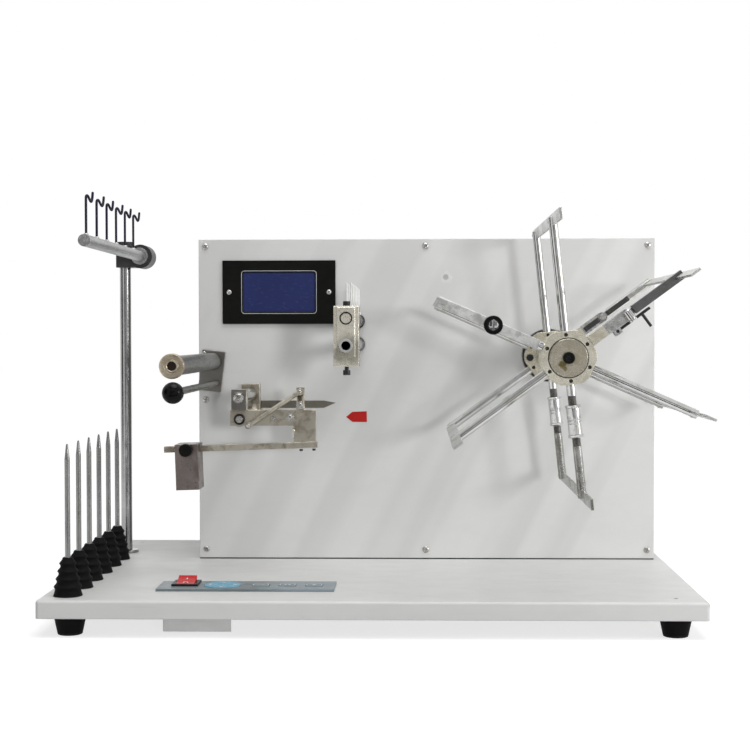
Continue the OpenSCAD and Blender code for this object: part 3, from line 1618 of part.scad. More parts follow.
module bearing_housing() color("#7d8083")
  at_xz(hub_x, hub_z)
    difference() {
      union() {
        y_bar(housing_d, panel_y - housing_nose, panel_y + housing_tail);
        y_bar(housing_flange_d, shell_y0, shell_y0 + housing_flange_t);
      }
      y_bar(shaft_d + 2 * run_fit, panel_y - housing_nose - 1, panel_y + housing_tail + 1);
    }

module drive_motor() color("#4d5053")
  difference() {
    union() {
      at_xz(hub_x, motor_z)
        y_bar(motor_d, motor_face_y, motor_face_y + motor_l);
      box([hub_x - motor_d / 2 - motor_plate_side, motor_face_y - motor_plate_t, base_z],
        [hub_x + motor_d / 2 + motor_plate_side, motor_face_y, motor_z + motor_d / 2]);
      box([hub_x - motor_d / 2 - motor_plate_side, motor_face_y - motor_plate_t, base_z],
        [hub_x + motor_d / 2 + motor_plate_side, motor_face_y + motor_foot_d, base_z + motor_plate_t]);
    }
    at_xz(hub_x, motor_z)
      y_bar(motor_shaft_d + 2 * run_fit, motor_face_y - motor_plate_t - 1, motor_face_y + motor_shaft_in + 1);
  }

module motor_pulley() color("#6a6d70")
  at_xz(hub_x, motor_z) {
    y_bar(motor_pulley_d, pulley_y0, pulley_y1);
    y_bar(motor_shaft_d, pulley_y0, motor_face_y + motor_shaft_in);
  }

// Arc of points round a centre
function arc(r, a0, a1, centre, n = 24) =
  [for (i = [0:n]) centre + r * [cos(a0 + (a1 - a0) * i / n), sin(a0 + (a1 - a0) * i / n)]];

// Open loop round the two pulleys, seen along the shafts
function belt_loop(grow) =
  let (big = reel_pulley_d / 2 + free_gap + grow,
       small = motor_pulley_d / 2 + free_gap + grow,
       b = acos((big - small) / motor_below))
  concat(arc(big, b - 90, 270 - b, [0, 0]), arc(small, 270 - b, 270 + b, [0, -motor_below]));

module drive_belt() color("#232425")
  translate([hub_x, pulley_y1 - 1, hub_z])
    rotate([90, 0, 0])
      linear_extrude(pulley_w - 2)
        difference() {
          polygon(belt_loop(belt_t));
          polygon(belt_loop(0));
        }

base_tray();
rubber_feet();
cabinet_shell();
front_panel();
back_cover();
case_screws();
display_bezel();
display_window();
control_board();
keypad_strip();
switch_frame();
wiring_box();
mains_inlet();
spindle_pins();
spindle_cones();
creel_post();
balance_pivot();
traverse_tube();
traverse_bracket();
traverse_screws();
bearing_housing();
drive_motor();
drive_belt();
traverse_motor();
power_rocker();
arrow_pad();
left_key();
middle_key();
right_key();
cross_clamp();
hook_bar();
yarn_hooks();
tension_plate();
tension_rods();
tension_cap();
ball_knob();
balance_lever();
balance_beam();
yarn_roller();
pointer();
poise_weight();
thumb_screw();
traverse_rod();
yarn_forks();
heart_cam();
reel_shaft();
reel_hub();
hub_cap();
hub_screws();
arm_rods();
winding_bars();
yarn_clip();
adjusting_arm();
front_sleeve();
rear_sleeve();
knee_forks();
folding_arm();
knee_pins();
release_lever();
motor_pulley();
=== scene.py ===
import json
import math
import bmesh
import bpy
from mathutils import Matrix, Vector


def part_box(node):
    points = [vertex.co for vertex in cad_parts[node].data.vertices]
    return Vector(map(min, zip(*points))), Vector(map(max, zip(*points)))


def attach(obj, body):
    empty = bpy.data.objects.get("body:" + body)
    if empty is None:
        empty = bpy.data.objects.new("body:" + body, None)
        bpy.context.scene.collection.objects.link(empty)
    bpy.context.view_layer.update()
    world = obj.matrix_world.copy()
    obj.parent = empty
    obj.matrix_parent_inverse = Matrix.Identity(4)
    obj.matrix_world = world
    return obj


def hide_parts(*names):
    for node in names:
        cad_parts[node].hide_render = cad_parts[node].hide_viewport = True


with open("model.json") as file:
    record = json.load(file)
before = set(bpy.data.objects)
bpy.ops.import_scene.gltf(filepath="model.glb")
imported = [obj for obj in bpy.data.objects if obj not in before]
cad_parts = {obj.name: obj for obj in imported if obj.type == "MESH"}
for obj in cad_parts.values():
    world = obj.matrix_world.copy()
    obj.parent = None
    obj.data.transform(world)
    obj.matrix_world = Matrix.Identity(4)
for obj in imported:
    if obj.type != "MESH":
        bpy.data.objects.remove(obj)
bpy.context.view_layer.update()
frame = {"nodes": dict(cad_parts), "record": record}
nodes = frame["nodes"]
bodyOf = {n: b for b, ns in frame["record"]["behaviour"]["bodies"].items() for n in ns}
mm = 0.001
print("frame loaded:", len(nodes), "nodes")


# camera fitted to the photo, in millimetres and radians
camera = {"at": (55.7963, -2030.1675, 358.516), "yaw": -0.0283, "pitch": -0.0257, "roll": 0.0017, "lens": 71.8637}


def addCamera(c):
    cy, sy = math.cos(c["yaw"]), math.sin(c["yaw"])
    cp, sp = math.cos(c["pitch"]), math.sin(c["pitch"])
    cr, sr = math.cos(c["roll"]), math.sin(c["roll"])
    turn = (Matrix(((cr, 0, -sr), (0, 1, 0), (sr, 0, cr))) @ Matrix(((1, 0, 0), (0, cp, sp), (0, -sp, cp)))
            @ Matrix(((cy, -sy, 0), (sy, cy, 0), (0, 0, 1))))
    data = bpy.data.cameras.new("camera")
    data.lens, data.sensor_width, data.clip_start, data.clip_end = c["lens"], 36, 0.05, 60
    cam = bpy.data.objects.new("camera", data)
    cam.matrix_world = Matrix((turn[0], turn[2], -turn[1])).transposed().to_4x4()
    cam.location = Vector(c["at"]) * mm
    bpy.context.scene.collection.objects.link(cam)
    bpy.context.scene.camera = cam


addCamera(camera)


# small helpers for shader nodes

def put(tree, kind, sockets=None, **settings):
    n = tree.nodes.new(kind)
    for key, value in settings.items():
        setattr(n, key, value)
    for key, value in (sockets or {}).items():
        join(tree, value, n.inputs[key])
    return n


def join(tree, value, socket):
    if isinstance(value, bpy.types.NodeSocket):
        tree.links.new(value, socket)
    else:
        socket.default_value = value


def rgba(c):
    return (c[0], c[1], c[2], 1.0)


def math2(tree, how, a, b=0.0, clamp=False):
    n = put(tree, "ShaderNodeMath", {0: a, 1: b}, operation=how, use_clamp=clamp)
    return n.outputs[0]


def span(tree, value, low, high, toLow=0.0, toHigh=1.0):
    n = put(tree, "ShaderNodeMapRange", {"Value": value, "From Min": low, "From Max": high,
                                         "To Min": toLow, "To Max": toHigh})
    return n.outputs["Result"]


def mixColour(tree, mask, a, b):
    n = put(tree, "ShaderNodeMix", data_type="RGBA")
    for value, i in ((mask, 0), (a, 6), (b, 7)):
        join(tree, rgba(value) if isinstance(value, tuple) else value, n.inputs[i])
    return n.outputs[2]


def noise(tree, place, scale, detail=3.0, rough=0.55, warp=0.0):
    return put(tree, "ShaderNodeTexNoise", {"Vector": place, "Scale": scale, "Detail": detail, "Roughness": rough,
        "Distortion": warp}).outputs[0]


def startGroup(name, takes, gives):
    g = bpy.data.node_groups.new(name, "ShaderNodeTree")
    for label, kind, value in takes:
        g.interface.new_socket(name=label, in_out="INPUT", socket_type="NodeSocket" + kind).default_value = value
    for label, kind in gives:
        g.interface.new_socket(name=label, in_out="OUTPUT", socket_type="NodeSocket" + kind)
    return g, g.nodes.new("NodeGroupInput").outputs, g.nodes.new("NodeGroupOutput").inputs


def surfacePlace(tree):
    return tree.nodes.new("ShaderNodeTexCoord").outputs["Object"]


# effects that several finishes share

def wornAndLitRimGroup():  # worn rims, lightened as real wear and as a painted highlight, and a softened normal for them
    g, take, give = startGroup("wornAndLitRims", [("Radius", "Float", 0.001), ("Patch", "Float", 90.0)],
        [("Mask", "Float"), ("Normal", "Vector")])
    soft = put(g, "ShaderNodeBevel", {"Radius": take["Radius"]}, samples=4).outputs[0]
    flat = g.nodes.new("ShaderNodeNewGeometry").outputs["Normal"]
    dot = put(g, "ShaderNodeVectorMath", {0: soft, 1: flat}, operation="DOT_PRODUCT").outputs["Value"]
    rim = span(g, dot, 0.985, 0.80)
    patch = span(g, noise(g, surfacePlace(g), take["Patch"], 4.0, 0.65), 0.46, 0.62)
    g.links.new(math2(g, "MULTIPLY", rim, patch, True), give["Mask"])
    g.links.new(soft, give["Normal"])
    return g


def handlingGroup():  # broad uneven tone and finger smears
    g, take, give = startGroup("handling", [("Scale", "Float", 9.0)], [("Tone", "Float"), ("Smear", "Float")])
    place = surfacePlace(g)
    g.links.new(span(g, noise(g, place, take["Scale"], 4.0, 0.6, 0.4), 0.3, 0.7), give["Tone"])
    fine = put(g, "ShaderNodeMapping", {"Vector": place, "Scale": (1.0, 1.6, 2.4),
        "Rotation": (0.3, 0.5, 0.2)}).outputs[0]
    g.links.new(span(g, noise(g, fine, math2(g, "MULTIPLY", take["Scale"], 5.0), 5.0, 0.6, 0.8), 0.42, 0.72),
        give["Smear"])
    return g


def brushGroup():  # drawn or ground lines along one direction
    g, take, give = startGroup("brushing", [("Stretch", "Vector", (900.0, 12.0, 900.0))], [("Line", "Float")])
    place = put(g, "ShaderNodeVectorMath", {0: surfacePlace(g), 1: take["Stretch"]}, operation="MULTIPLY").outputs[0]
    g.links.new(noise(g, place, 1.0, 3.0, 0.7), give["Line"])
    return g


def peelGroup():  # fine dimples of a sprayed or moulded skin
    g, take, give = startGroup("skin", [("Scale", "Float", 700.0)], [("Height", "Float")])
    place = surfacePlace(g)
    coarse = noise(g, place, take["Scale"], 2.0, 0.5)
    fine = noise(g, place, math2(g, "MULTIPLY", take["Scale"], 3.1), 1.0, 0.5)
    g.links.new(math2(g, "ADD", coarse, math2(g, "MULTIPLY", fine, 0.4)), give["Height"])
    return g


def dustGroup():  # dust that settles on what faces up
    g, take, give = startGroup("dust", [("Cover", "Float", 0.3)], [("Mask", "Float")])
    up = put(g, "ShaderNodeSeparateXYZ", {0: g.nodes.new("ShaderNodeNewGeometry").outputs["Normal"]}).outputs["Z"]
    spread = span(g, noise(g, surfacePlace(g), 60.0, 5.0, 0.7), 0.35, 0.75)
    g.links.new(math2(g, "MULTIPLY", math2(g, "MULTIPLY", span(g, up, 0.2, 0.95), spread), take["Cover"], True),
        give["Mask"])
    return g


def stainGroup():  # tarnish and oily patches
    g, take, give = startGroup("tarnish", [("Scale", "Float", 60.0), ("Level", "Float", 0.55)],
        [("Mask", "Float"), ("Speck", "Float")])
    place = surfacePlace(g)
    cloud = noise(g, place, take["Scale"], 4.0, 0.52, 0.5)
    g.links.new(span(g, math2(g, "SUBTRACT", cloud, take["Level"]), -0.04, 0.16), give["Mask"])
    g.links.new(span(g, noise(g, place, math2(g, "MULTIPLY", take["Scale"], 9.0), 2.0, 0.5), 0.66, 0.74),
        give["Speck"])
    return g


def scratchGroup():  # thin stray scratches
    g, take, give = startGroup("scratches", [("Scale", "Float", 14.0)], [("Mask", "Float")])
    place, lines = surfacePlace(g), None
    for turn in ((0.4, 0.9, 0.3), (1.3, -0.6, 0.8), (-0.5, 0.2, 1.9)):
        tilted = put(g, "ShaderNodeMapping", {"Vector": place, "Rotation": turn,
            "Scale": (1.0, 34.0, 34.0)}).outputs[0]
        line = span(g, noise(g, tilted, take["Scale"], 1.0, 0.4), 0.735, 0.76)
        lines = line if lines is None else math2(g, "MAXIMUM", lines, line)
    g.links.new(lines, give["Mask"])
    return g


def spotGroup():  # one mark at a known place
    g, take, give = startGroup("spot", [("Centre", "Vector", (0.0, 0.0, 0.0)), ("Radius", "Float", 0.005)],
        [("Mask", "Float")])
    place = surfacePlace(g)
    wobble = put(g, "ShaderNodeTexNoise", {"Vector": place, "Scale": 260.0, "Detail": 3.0}).outputs["Color"]
    nudge = put(g, "ShaderNodeVectorMath", {0: wobble, 1: (0.5, 0.5, 0.5)}, operation="SUBTRACT").outputs[0]
    moved = put(g, "ShaderNodeVectorMath", {0: nudge, 1: (0.009, 0.009, 0.009), 2: place},
        operation="MULTIPLY_ADD").outputs[0]
    far = put(g, "ShaderNodeVectorMath", {0: moved, 1: take["Centre"]}, operation="DISTANCE").outputs["Value"]
    g.links.new(span(g, math2(g, "DIVIDE", far, take["Radius"]), 1.0, 0.6), give["Mask"])
    return g


def cornerShadeGroup():  # painted shade in corners and along joints, from ambient occlusion broken into patches
    g, take, give = startGroup("paintedCornerShade", [("Reach", "Float", 0.004)], [("Mask", "Float")])
    shade = put(g, "ShaderNodeAmbientOcclusion", {"Distance": take["Reach"]}, samples=6).outputs["AO"]
    patch = span(g, noise(g, surfacePlace(g), 140.0, 4.0, 0.65), 0.30, 0.62, 0.35, 1.0)
    g.links.new(math2(g, "MULTIPLY", span(g, shade, 0.80, 0.30), patch, True), give["Mask"])
    return g


def shadowBandGroup():  # broad slanting bands of painted shadow
    g, take, give = startGroup("wipe", [("Scale", "Float", 6.0)], [("Band", "Float")])
    tilted = put(g, "ShaderNodeMapping", {"Vector": surfacePlace(g), "Rotation": (0.0, math.radians(27), 0.0),
        "Scale": (1.0, 1.0, 25.0)}, vector_type="TEXTURE").outputs[0]
    g.links.new(span(g, noise(g, tilted, take["Scale"], 2.0, 0.45, 0.1), 0.44, 0.58), give["Band"])
    return g


effects = {"paintedCornerShade": cornerShadeGroup(), "wipe": shadowBandGroup(), "edge": wornAndLitRimGroup(), "handling": handlingGroup(),
           "brush": brushGroup(), "skin": peelGroup(), "dust": dustGroup(), "stain": stainGroup(),
           "scratch": scratchGroup(), "spot": spotGroup()}


def effect(tree, name, **values):
    n = tree.nodes.new("ShaderNodeGroup")
    n.node_tree = effects[name]
    for key, value in values.items():
        n.inputs[key].default_value = value
    return n.outputs


def startFinish(name):
    m = bpy.data.materials.new(name)
    m.use_nodes = True
    return m, m.node_tree, m.node_tree.nodes["Principled BSDF"]


def bumpTo(tree, shader, height, strength, depth, normal=None):
    n = put(tree, "ShaderNodeBump", {"Height": height, "Strength": strength, "Distance": depth})
    if normal is not None:
        tree.links.new(normal, n.inputs["Normal"])
    tree.links.new(n.outputs[0], shader.inputs["Normal"])


def lay(tree, colour, mask, amount, tint):  # one colour over another through a mask
    return mixColour(tree, math2(tree, "MULTIPLY", mask, amount), colour, tint)


def layMarks(tree, colour, marks):  # marks at known places of the part
    for centre, radius, tint, amount in marks:
        spot = effect(tree, "spot", Centre=tuple(v * mm for v in centre), Radius=radius * mm)["Mask"]
        colour = lay(tree, colour, spot, amount, tint)
    return colour


# sprayed, moulded and printed finishes
def coatFinish(name, **look):
    m, t, s = startFinish(name)
    hand = effect(t, "handling", Scale=look.get("scale", 7.0))
    edge = effect(t, "edge", Radius=look.get("edge", 0.0012), Patch=120.0)
    colour = mixColour(t, hand["Tone"], look["light"], look["dark"])
    colour = lay(t, colour, hand["Smear"], look.get("smear", 0.25), look["grime"])
    colour = layMarks(t, colour, look.get("marks", []))
    # painted shadow: broad slanting darker bands over the colour
    if "wipe" in look:
        band = effect(t, "wipe", Scale=look["wipeScale"])["Band"]
        colour = lay(t, colour, band, look["wipeAmount"], look["wipe"])
    if "scratch" in look:
        line = effect(t, "scratch", Scale=look["scratchScale"])["Mask"]
        colour = lay(t, colour, line, look["scratchAmount"], look["scratch"])
    # lighter rims: real wear and a painted highlight along the edges
    colour = lay(t, colour, edge["Mask"], look.get("wear", 0.5), look["worn"])
    dust = effect(t, "dust", Cover=look.get("dust", 0.2))
    colour = mixColour(t, dust["Mask"], colour, look.get("dusty", (0.30, 0.29, 0.27)))
    dirt = effect(t, "paintedCornerShade", Reach=look.get("reach", 0.005))["Mask"]
    # painted shade: corners and joints darkened towards a near-black brown
    colour = lay(t, colour, dirt, look.get("dirt", 0.45), (0.10, 0.095, 0.085))
    t.links.new(colour, s.inputs["Base Color"])
    rough = span(t, hand["Smear"], 0.0, 1.0, look["rough"] - 0.05, look["rough"] + 0.09)
    t.links.new(rough, s.inputs["Roughness"])
    s.inputs["Specular IOR Level"].default_value = look.get("spec", 0.25)
    s.inputs["Coat Weight"].default_value = look.get("coat", 0.0)
    s.inputs["Coat Roughness"].default_value = 0.12
    skin = effect(t, "skin", Scale=look.get("skin", 700.0))["Height"]
    bumpTo(t, s, skin, look.get("bump", 0.12), 0.0004, edge["Normal"])
    return m


# plated, ground and cast metals
def metalFinish(name, **look):
    m, t, s = startFinish(name)
    hand = effect(t, "handling", Scale=look.get("scale", 16.0))
    edge = effect(t, "edge", Radius=look.get("edge", 0.0007), Patch=look.get("patch", 160.0))
    line = effect(t, "brush", Stretch=look.get("stretch", (600.0, 14.0, 600.0)))["Line"]
    stain = effect(t, "stain", Scale=look.get("stainScale", 55.0), Level=look.get("level", 0.56))
    colour = mixColour(t, hand["Tone"], look["light"], look["dark"])
    colour = lay(t, colour, stain["Mask"], look.get("stain", 0.5), look["tarnish"])
    colour = lay(t, colour, stain["Speck"], look.get("speck", 0.08), tuple(0.25 * v for v in look["tarnish"]))
    colour = layMarks(t, colour, look.get("marks", []))
    # lighter rims: real wear and a painted highlight along the edges
    colour = lay(t, colour, edge["Mask"], look.get("wear", 0.35), look.get("worn", (0.85, 0.84, 0.80)))
    dust = effect(t, "dust", Cover=0.12)
    colour = mixColour(t, dust["Mask"], colour, (0.30, 0.29, 0.26))
    dirt = effect(t, "paintedCornerShade", Reach=look.get("reach", 0.004))["Mask"]
    # painted shade: corners and joints darkened towards a dark tarnish colour
    colour = lay(t, colour, dirt, look.get("dirt", 0.6), tuple(0.3 * v for v in look["tarnish"]))
    t.links.new(colour, s.inputs["Base Color"])
    drawn = look.get("drawn", 0.08)
    rough = span(t, line, 0.3, 0.7, look["rough"] - drawn, look["rough"] + drawn)
    rough = math2(t, "ADD", rough, math2(t, "MULTIPLY", hand["Smear"], look.get("smear", 0.10)))
    rough = math2(t, "ADD", rough, math2(t, "MULTIPLY", stain["Mask"], 0.12), True)
    t.links.new(rough, s.inputs["Roughness"])
    t.links.new(span(t, dust["Mask"], 0.0, 1.0, 1.0, 0.2), s.inputs["Metallic"])
    bumpTo(t, s, line, look.get("bump", 0.06), 0.0003, edge["Normal"])
    return m


pale = dict(light=(0.69, 0.69, 0.682), dark=(0.652, 0.652, 0.643), grime=(0.57, 0.57, 0.56), worn=(0.78, 0.78, 0.77),
        rough=0.46, scale=3.2, smear=0.2, dust=0.08, edge=0.0018, skin=620.0, bump=0.1, wear=0.35, spec=0.3,
        dusty=(0.5, 0.49, 0.46))
finishes = {
    "powder": coatFinish("powderCoat", **dict(pale, marks=[((402.0, -262.0, 45.0), 9.0, (0.4, 0.39, 0.37), 0.45)],
        scratch=(0.5, 0.5, 0.48), scratchScale=5.0, scratchAmount=0.22)),
    # the panel carries painted shadow bands
    "panel": coatFinish("panelCoat", **dict(pale, wipe=(0.585, 0.585, 0.576), wipeScale=17.0, wipeAmount=0.65,
        marks=[((-60.0, 74.0, 300.0), 26.0, (0.6, 0.6, 0.59), 0.35),
               # a pale ring painted as the highlight round the small dark smudge
               ((97.0, 74.0, 441.0), 9.0, (0.8, 0.8, 0.79), 0.9),
               ((95.6, 74.0, 441.9), 5.2, (0.16, 0.16, 0.155), 0.85)])),
    "rubber": coatFinish("footRubber", dusty=(0.06, 0.058, 0.055), light=(0.0045, 0.0045, 0.005),
        dark=(0.007, 0.007, 0.0075), grime=(0.014, 0.0135, 0.013), worn=(0.022, 0.021, 0.02), rough=0.62, scale=22.0,
        smear=0.4, dust=0.08, skin=1500.0, bump=0.25, spec=0.05),
    "trim": coatFinish("blackTrim", spec=0.09, light=(0.005, 0.005, 0.0045), dark=(0.008, 0.008, 0.007),
        grime=(0.014, 0.014, 0.013), worn=(0.05, 0.05, 0.048), rough=0.36, scale=14.0, dust=0.08, skin=1800.0,
        bump=0.1),
    "strip": coatFinish("stripFilm", spec=0.16, light=(0.185, 0.225, 0.245), dark=(0.15, 0.182, 0.195),
        grime=(0.13, 0.145, 0.15), worn=(0.35, 0.4, 0.43), rough=0.34, scale=10.0, smear=0.35, dust=0.08, skin=1400.0,
        # the pale patch at the strip's right end is painted light, brightening that end
        bump=0.06, marks=[((-70.0, -170.0, 48.0), 78.0, (0.275, 0.33, 0.365), 0.8)]),
    "key": coatFinish("keyFilm", spec=0.06, light=(0.165, 0.42, 0.58), dark=(0.14, 0.37, 0.52),
        grime=(0.12, 0.25, 0.32), worn=(0.35, 0.5, 0.6), rough=0.3, scale=20.0, dust=0.08, skin=1400.0, bump=0.06),
    "keyGrey": coatFinish("keyGrey", spec=0.08, light=(0.205, 0.265, 0.3), dark=(0.175, 0.225, 0.255),
        grime=(0.14, 0.17, 0.19), worn=(0.35, 0.42, 0.46), rough=0.32, scale=20.0, dust=0.08, skin=1400.0, bump=0.06),
    "mark": coatFinish("whitePrint", light=(0.78, 0.8, 0.8), dark=(0.66, 0.69, 0.7), grime=(0.45, 0.47, 0.48),
        worn=(0.5, 0.5, 0.5), rough=0.4, scale=60.0),
    "greyBox": coatFinish("greyBox", **dict(pale, light=(0.79, 0.79, 0.785), dark=(0.74, 0.74, 0.735), scale=9.0)),
    "clamp": coatFinish("blackMetal", spec=0.22, light=(0.028, 0.028, 0.028), dark=(0.042, 0.042, 0.042),
        grime=(0.065, 0.063, 0.06), worn=(0.16, 0.15, 0.14), rough=0.4, scale=30.0, dust=0.1, skin=1100.0, bump=0.2,
        wear=0.6),
    "hookWire": coatFinish("hookWire", spec=0.18, light=(0.008, 0.008, 0.02), dark=(0.014, 0.013, 0.032),
        grime=(0.045, 0.042, 0.055), worn=(0.1, 0.09, 0.12), rough=0.32, scale=60.0, dust=0.05),
    "ball": coatFinish("ballGloss", spec=0.08, light=(0.003, 0.003, 0.003), dark=(0.005, 0.005, 0.005),
        grime=(0.02, 0.02, 0.02), worn=(0.03, 0.03, 0.03), rough=0.1, scale=40.0, smear=0.3, dust=0.03, bump=0.02),
    # strong painted shade in the bends of the forks and between their prongs
    "ceramic": coatFinish("ceramic", dirt=0.85, reach=0.004, light=(0.86, 0.86, 0.84),
        dark=(0.78, 0.78, 0.76), grime=(0.38, 0.365, 0.335), worn=(0.75, 0.75, 0.73), rough=0.22, scale=40.0,
        smear=0.25, dust=0.06, coat=0.2, bump=0.04),
    "red": coatFinish("redRocker", spec=0.08, light=(0.62, 0.026, 0.03), dark=(0.52, 0.018, 0.022),
        grime=(0.22, 0.03, 0.03), worn=(0.62, 0.25, 0.24), rough=0.24, scale=45.0, dust=0.1, bump=0.04),
    "arrow": coatFinish("arrowFilm", light=(0.48, 0.014, 0.012), dark=(0.43, 0.012, 0.01), grime=(0.28, 0.02, 0.02),
        worn=(0.5, 0.1, 0.09), rough=0.34, scale=50.0, dust=0.0),
    "board": coatFinish("boardGreen", light=(0.02, 0.11, 0.05), dark=(0.016, 0.085, 0.042), grime=(0.03, 0.07, 0.04),
        worn=(0.2, 0.22, 0.14), rough=0.35, scale=70.0, skin=900.0, bump=0.3),
    "belt": coatFinish("beltRubber", light=(0.018, 0.018, 0.019), dark=(0.026, 0.026, 0.026),
        grime=(0.05, 0.05, 0.05), worn=(0.07, 0.07, 0.07), rough=0.7, scale=30.0, bump=0.3),
    "housing": metalFinish("housingGrey", light=(0.34, 0.345, 0.35), dark=(0.28, 0.285, 0.29),
        tarnish=(0.16, 0.15, 0.13), rough=0.42, stretch=(500.0, 500.0, 500.0)),
    "motor": metalFinish("motorCase", light=(0.2, 0.205, 0.21), dark=(0.15, 0.155, 0.16), tarnish=(0.08, 0.075, 0.07),
        rough=0.45, stretch=(300.0, 300.0, 300.0)),
    "screw": metalFinish("screwSteel", light=(0.62, 0.61, 0.585), dark=(0.48, 0.47, 0.45), tarnish=(0.22, 0.19, 0.15),
        rough=0.24, scale=120.0, stainScale=300.0, stretch=(900.0, 900.0, 900.0)),
    "spindle": metalFinish("spindleSteel", light=(0.32, 0.32, 0.315), dark=(0.21, 0.21, 0.206),
        tarnish=(0.26, 0.25, 0.23), rough=0.26, stretch=(1200.0, 1200.0, 30.0), stain=0.35),
    "chrome": metalFinish("chrome", light=(0.42, 0.42, 0.42), dark=(0.3, 0.3, 0.3), tarnish=(0.16, 0.155, 0.14),
        rough=0.13, drawn=0.04, smear=0.08, stain=0.3, level=0.6),
    "armChrome": metalFinish("armChrome", light=(0.64, 0.64, 0.635), dark=(0.48, 0.48, 0.47),
        tarnish=(0.32, 0.3, 0.2), rough=0.09, drawn=0.05, smear=0.08, stain=0.5, level=0.57,
        stretch=(300.0, 300.0, 300.0)),
    "bar": metalFinish("barSteel", light=(0.7, 0.7, 0.69), dark=(0.5, 0.5, 0.49), tarnish=(0.4, 0.38, 0.32),
        rough=0.36, stretch=(900.0, 16.0, 900.0), stain=0.4),
    "dullRod": metalFinish("dullRod", light=(0.4, 0.4, 0.385), dark=(0.25, 0.25, 0.238), tarnish=(0.17, 0.16, 0.12),
        rough=0.18, scale=60.0, stainScale=110.0, level=0.5, stain=0.6, stretch=(1500.0, 1500.0, 1500.0), bump=0.1),
    "aluminium": metalFinish("aluminium", light=(0.44, 0.44, 0.445), dark=(0.34, 0.34, 0.345),
        tarnish=(0.25, 0.245, 0.23), rough=0.38, stretch=(700.0, 60.0, 700.0), bump=0.1),
    "tension": metalFinish("tensionSteel", light=(0.25, 0.25, 0.24), dark=(0.19, 0.19, 0.18),
        tarnish=(0.115, 0.11, 0.095), rough=0.33, stretch=(700.0, 18.0, 700.0), stain=0.5),
    "sawn": metalFinish("sawnEnd", light=(0.46, 0.46, 0.465), dark=(0.22, 0.22, 0.225), tarnish=(0.2, 0.195, 0.18),
        rough=0.34, scale=260.0, stretch=(2600.0, 1.0, 160.0), bump=0.5, drawn=0.2),
    "plate": metalFinish("plateSteel", light=(0.235, 0.225, 0.21), dark=(0.178, 0.169, 0.157),
        tarnish=(0.24, 0.225, 0.19), rough=0.36, stretch=(40.0, 700.0, 700.0), stain=0.4, wear=0.7),
    # strong painted shade down in the thread grooves
    "thread": metalFinish("threadSteel", light=(0.26, 0.255, 0.24), dark=(0.17, 0.165, 0.155),
        tarnish=(0.07, 0.06, 0.045), rough=0.3, stainScale=160.0, stretch=(500.0, 500.0, 500.0), dirt=0.9,
        reach=0.0012),
    "brass": metalFinish("capBrass", light=(0.54, 0.475, 0.37), dark=(0.43, 0.365, 0.275),
        tarnish=(0.2, 0.145, 0.085), rough=0.34, scale=60.0, stainScale=160.0, worn=(0.72, 0.64, 0.48), wear=0.6,
        stretch=(300.0, 300.0, 300.0)),
    "socket": coatFinish("socketDark", light=(0.035, 0.022, 0.014), dark=(0.016, 0.012, 0.01),
        grime=(0.06, 0.04, 0.025), worn=(0.15, 0.1, 0.06), rough=0.6, scale=90.0, dust=0.0),
    "agedNickel": metalFinish("agedNickel", light=(0.585, 0.55, 0.46), dark=(0.41, 0.375, 0.313),
        tarnish=(0.15, 0.118, 0.088), rough=0.36, stainScale=75.0, level=0.5, stain=0.6, speck=0.2,
        worn=(0.76, 0.7, 0.54), wear=0.9, edge=0.0015, patch=110.0, stretch=(22.0, 700.0, 700.0), bump=0.1),
    "poise": metalFinish("poiseSteel", light=(0.285, 0.245, 0.23), dark=(0.205, 0.173, 0.162),
        tarnish=(0.095, 0.072, 0.062), rough=0.3, stainScale=40.0, level=0.52, stain=0.5, speck=0.15,
        worn=(0.62, 0.6, 0.57), wear=0.9, edge=0.001, stretch=(500.0, 500.0, 40.0), bump=0.08),
    "pointer": metalFinish("pointerSteel", light=(0.25, 0.236, 0.2), dark=(0.18, 0.168, 0.144),
        tarnish=(0.09, 0.08, 0.06), rough=0.4, stretch=(20.0, 600.0, 600.0)),
    "nickel": metalFinish("nickel", light=(0.82, 0.785, 0.67), dark=(0.6, 0.565, 0.46), tarnish=(0.34, 0.295, 0.185),
        rough=0.24, scale=40.0, stainScale=90.0, level=0.54, stain=0.35, speck=0.05, worn=(0.82, 0.8, 0.72), wear=0.7,
        stretch=(1700.0, 1700.0, 1700.0), bump=0.04, drawn=0.05),
    # its nearly white rims are a painted highlight as much as wear
    "capNickel": metalFinish("capNickel", light=(0.53, 0.49, 0.4), dark=(0.4, 0.368, 0.29),
        tarnish=(0.31, 0.275, 0.185), rough=0.24, scale=50.0, stainScale=90.0, level=0.54, stain=0.5,
        worn=(0.95, 0.93, 0.85), wear=1.0, edge=0.0013, patch=60.0, stretch=(1700.0, 1700.0, 1700.0), bump=0.04,
        drawn=0.05, marks=[((222.0, -306.0, 326.0), 5.0, (0.14, 0.11, 0.03), 0.9),
                           ((225.5, -306.0, 321.5), 3.0, (0.17, 0.13, 0.04), 0.8)]),
    "castBlock": metalFinish("castBlock", light=(0.36, 0.345, 0.285), dark=(0.27, 0.255, 0.205),
        tarnish=(0.15, 0.13, 0.085), rough=0.36, scale=50.0, stainScale=70.0, level=0.5, stain=0.6,
        worn=(0.9, 0.88, 0.76), wear=0.9, edge=0.0013, stretch=(1500.0, 1500.0, 1500.0), bump=0.05, drawn=0.06),
    "faceNickel": metalFinish("faceNickel",
        marks=[((-22.0, -276.0, 342.0), 22.0, (0.42, 0.4, 0.33), 0.85),
               ((-38.0, -276.0, 336.0), 14.0, (0.4, 0.38, 0.31), 0.8)],
        light=(0.97, 0.93, 0.82), dark=(0.84, 0.79, 0.67), tarnish=(0.5, 0.46, 0.35), rough=0.26, scale=38.0,
        stainScale=60.0, level=0.54, stain=0.4, stretch=(1500.0, 1500.0, 300.0), bump=0.05, wear=0.9, edge=0.0011),
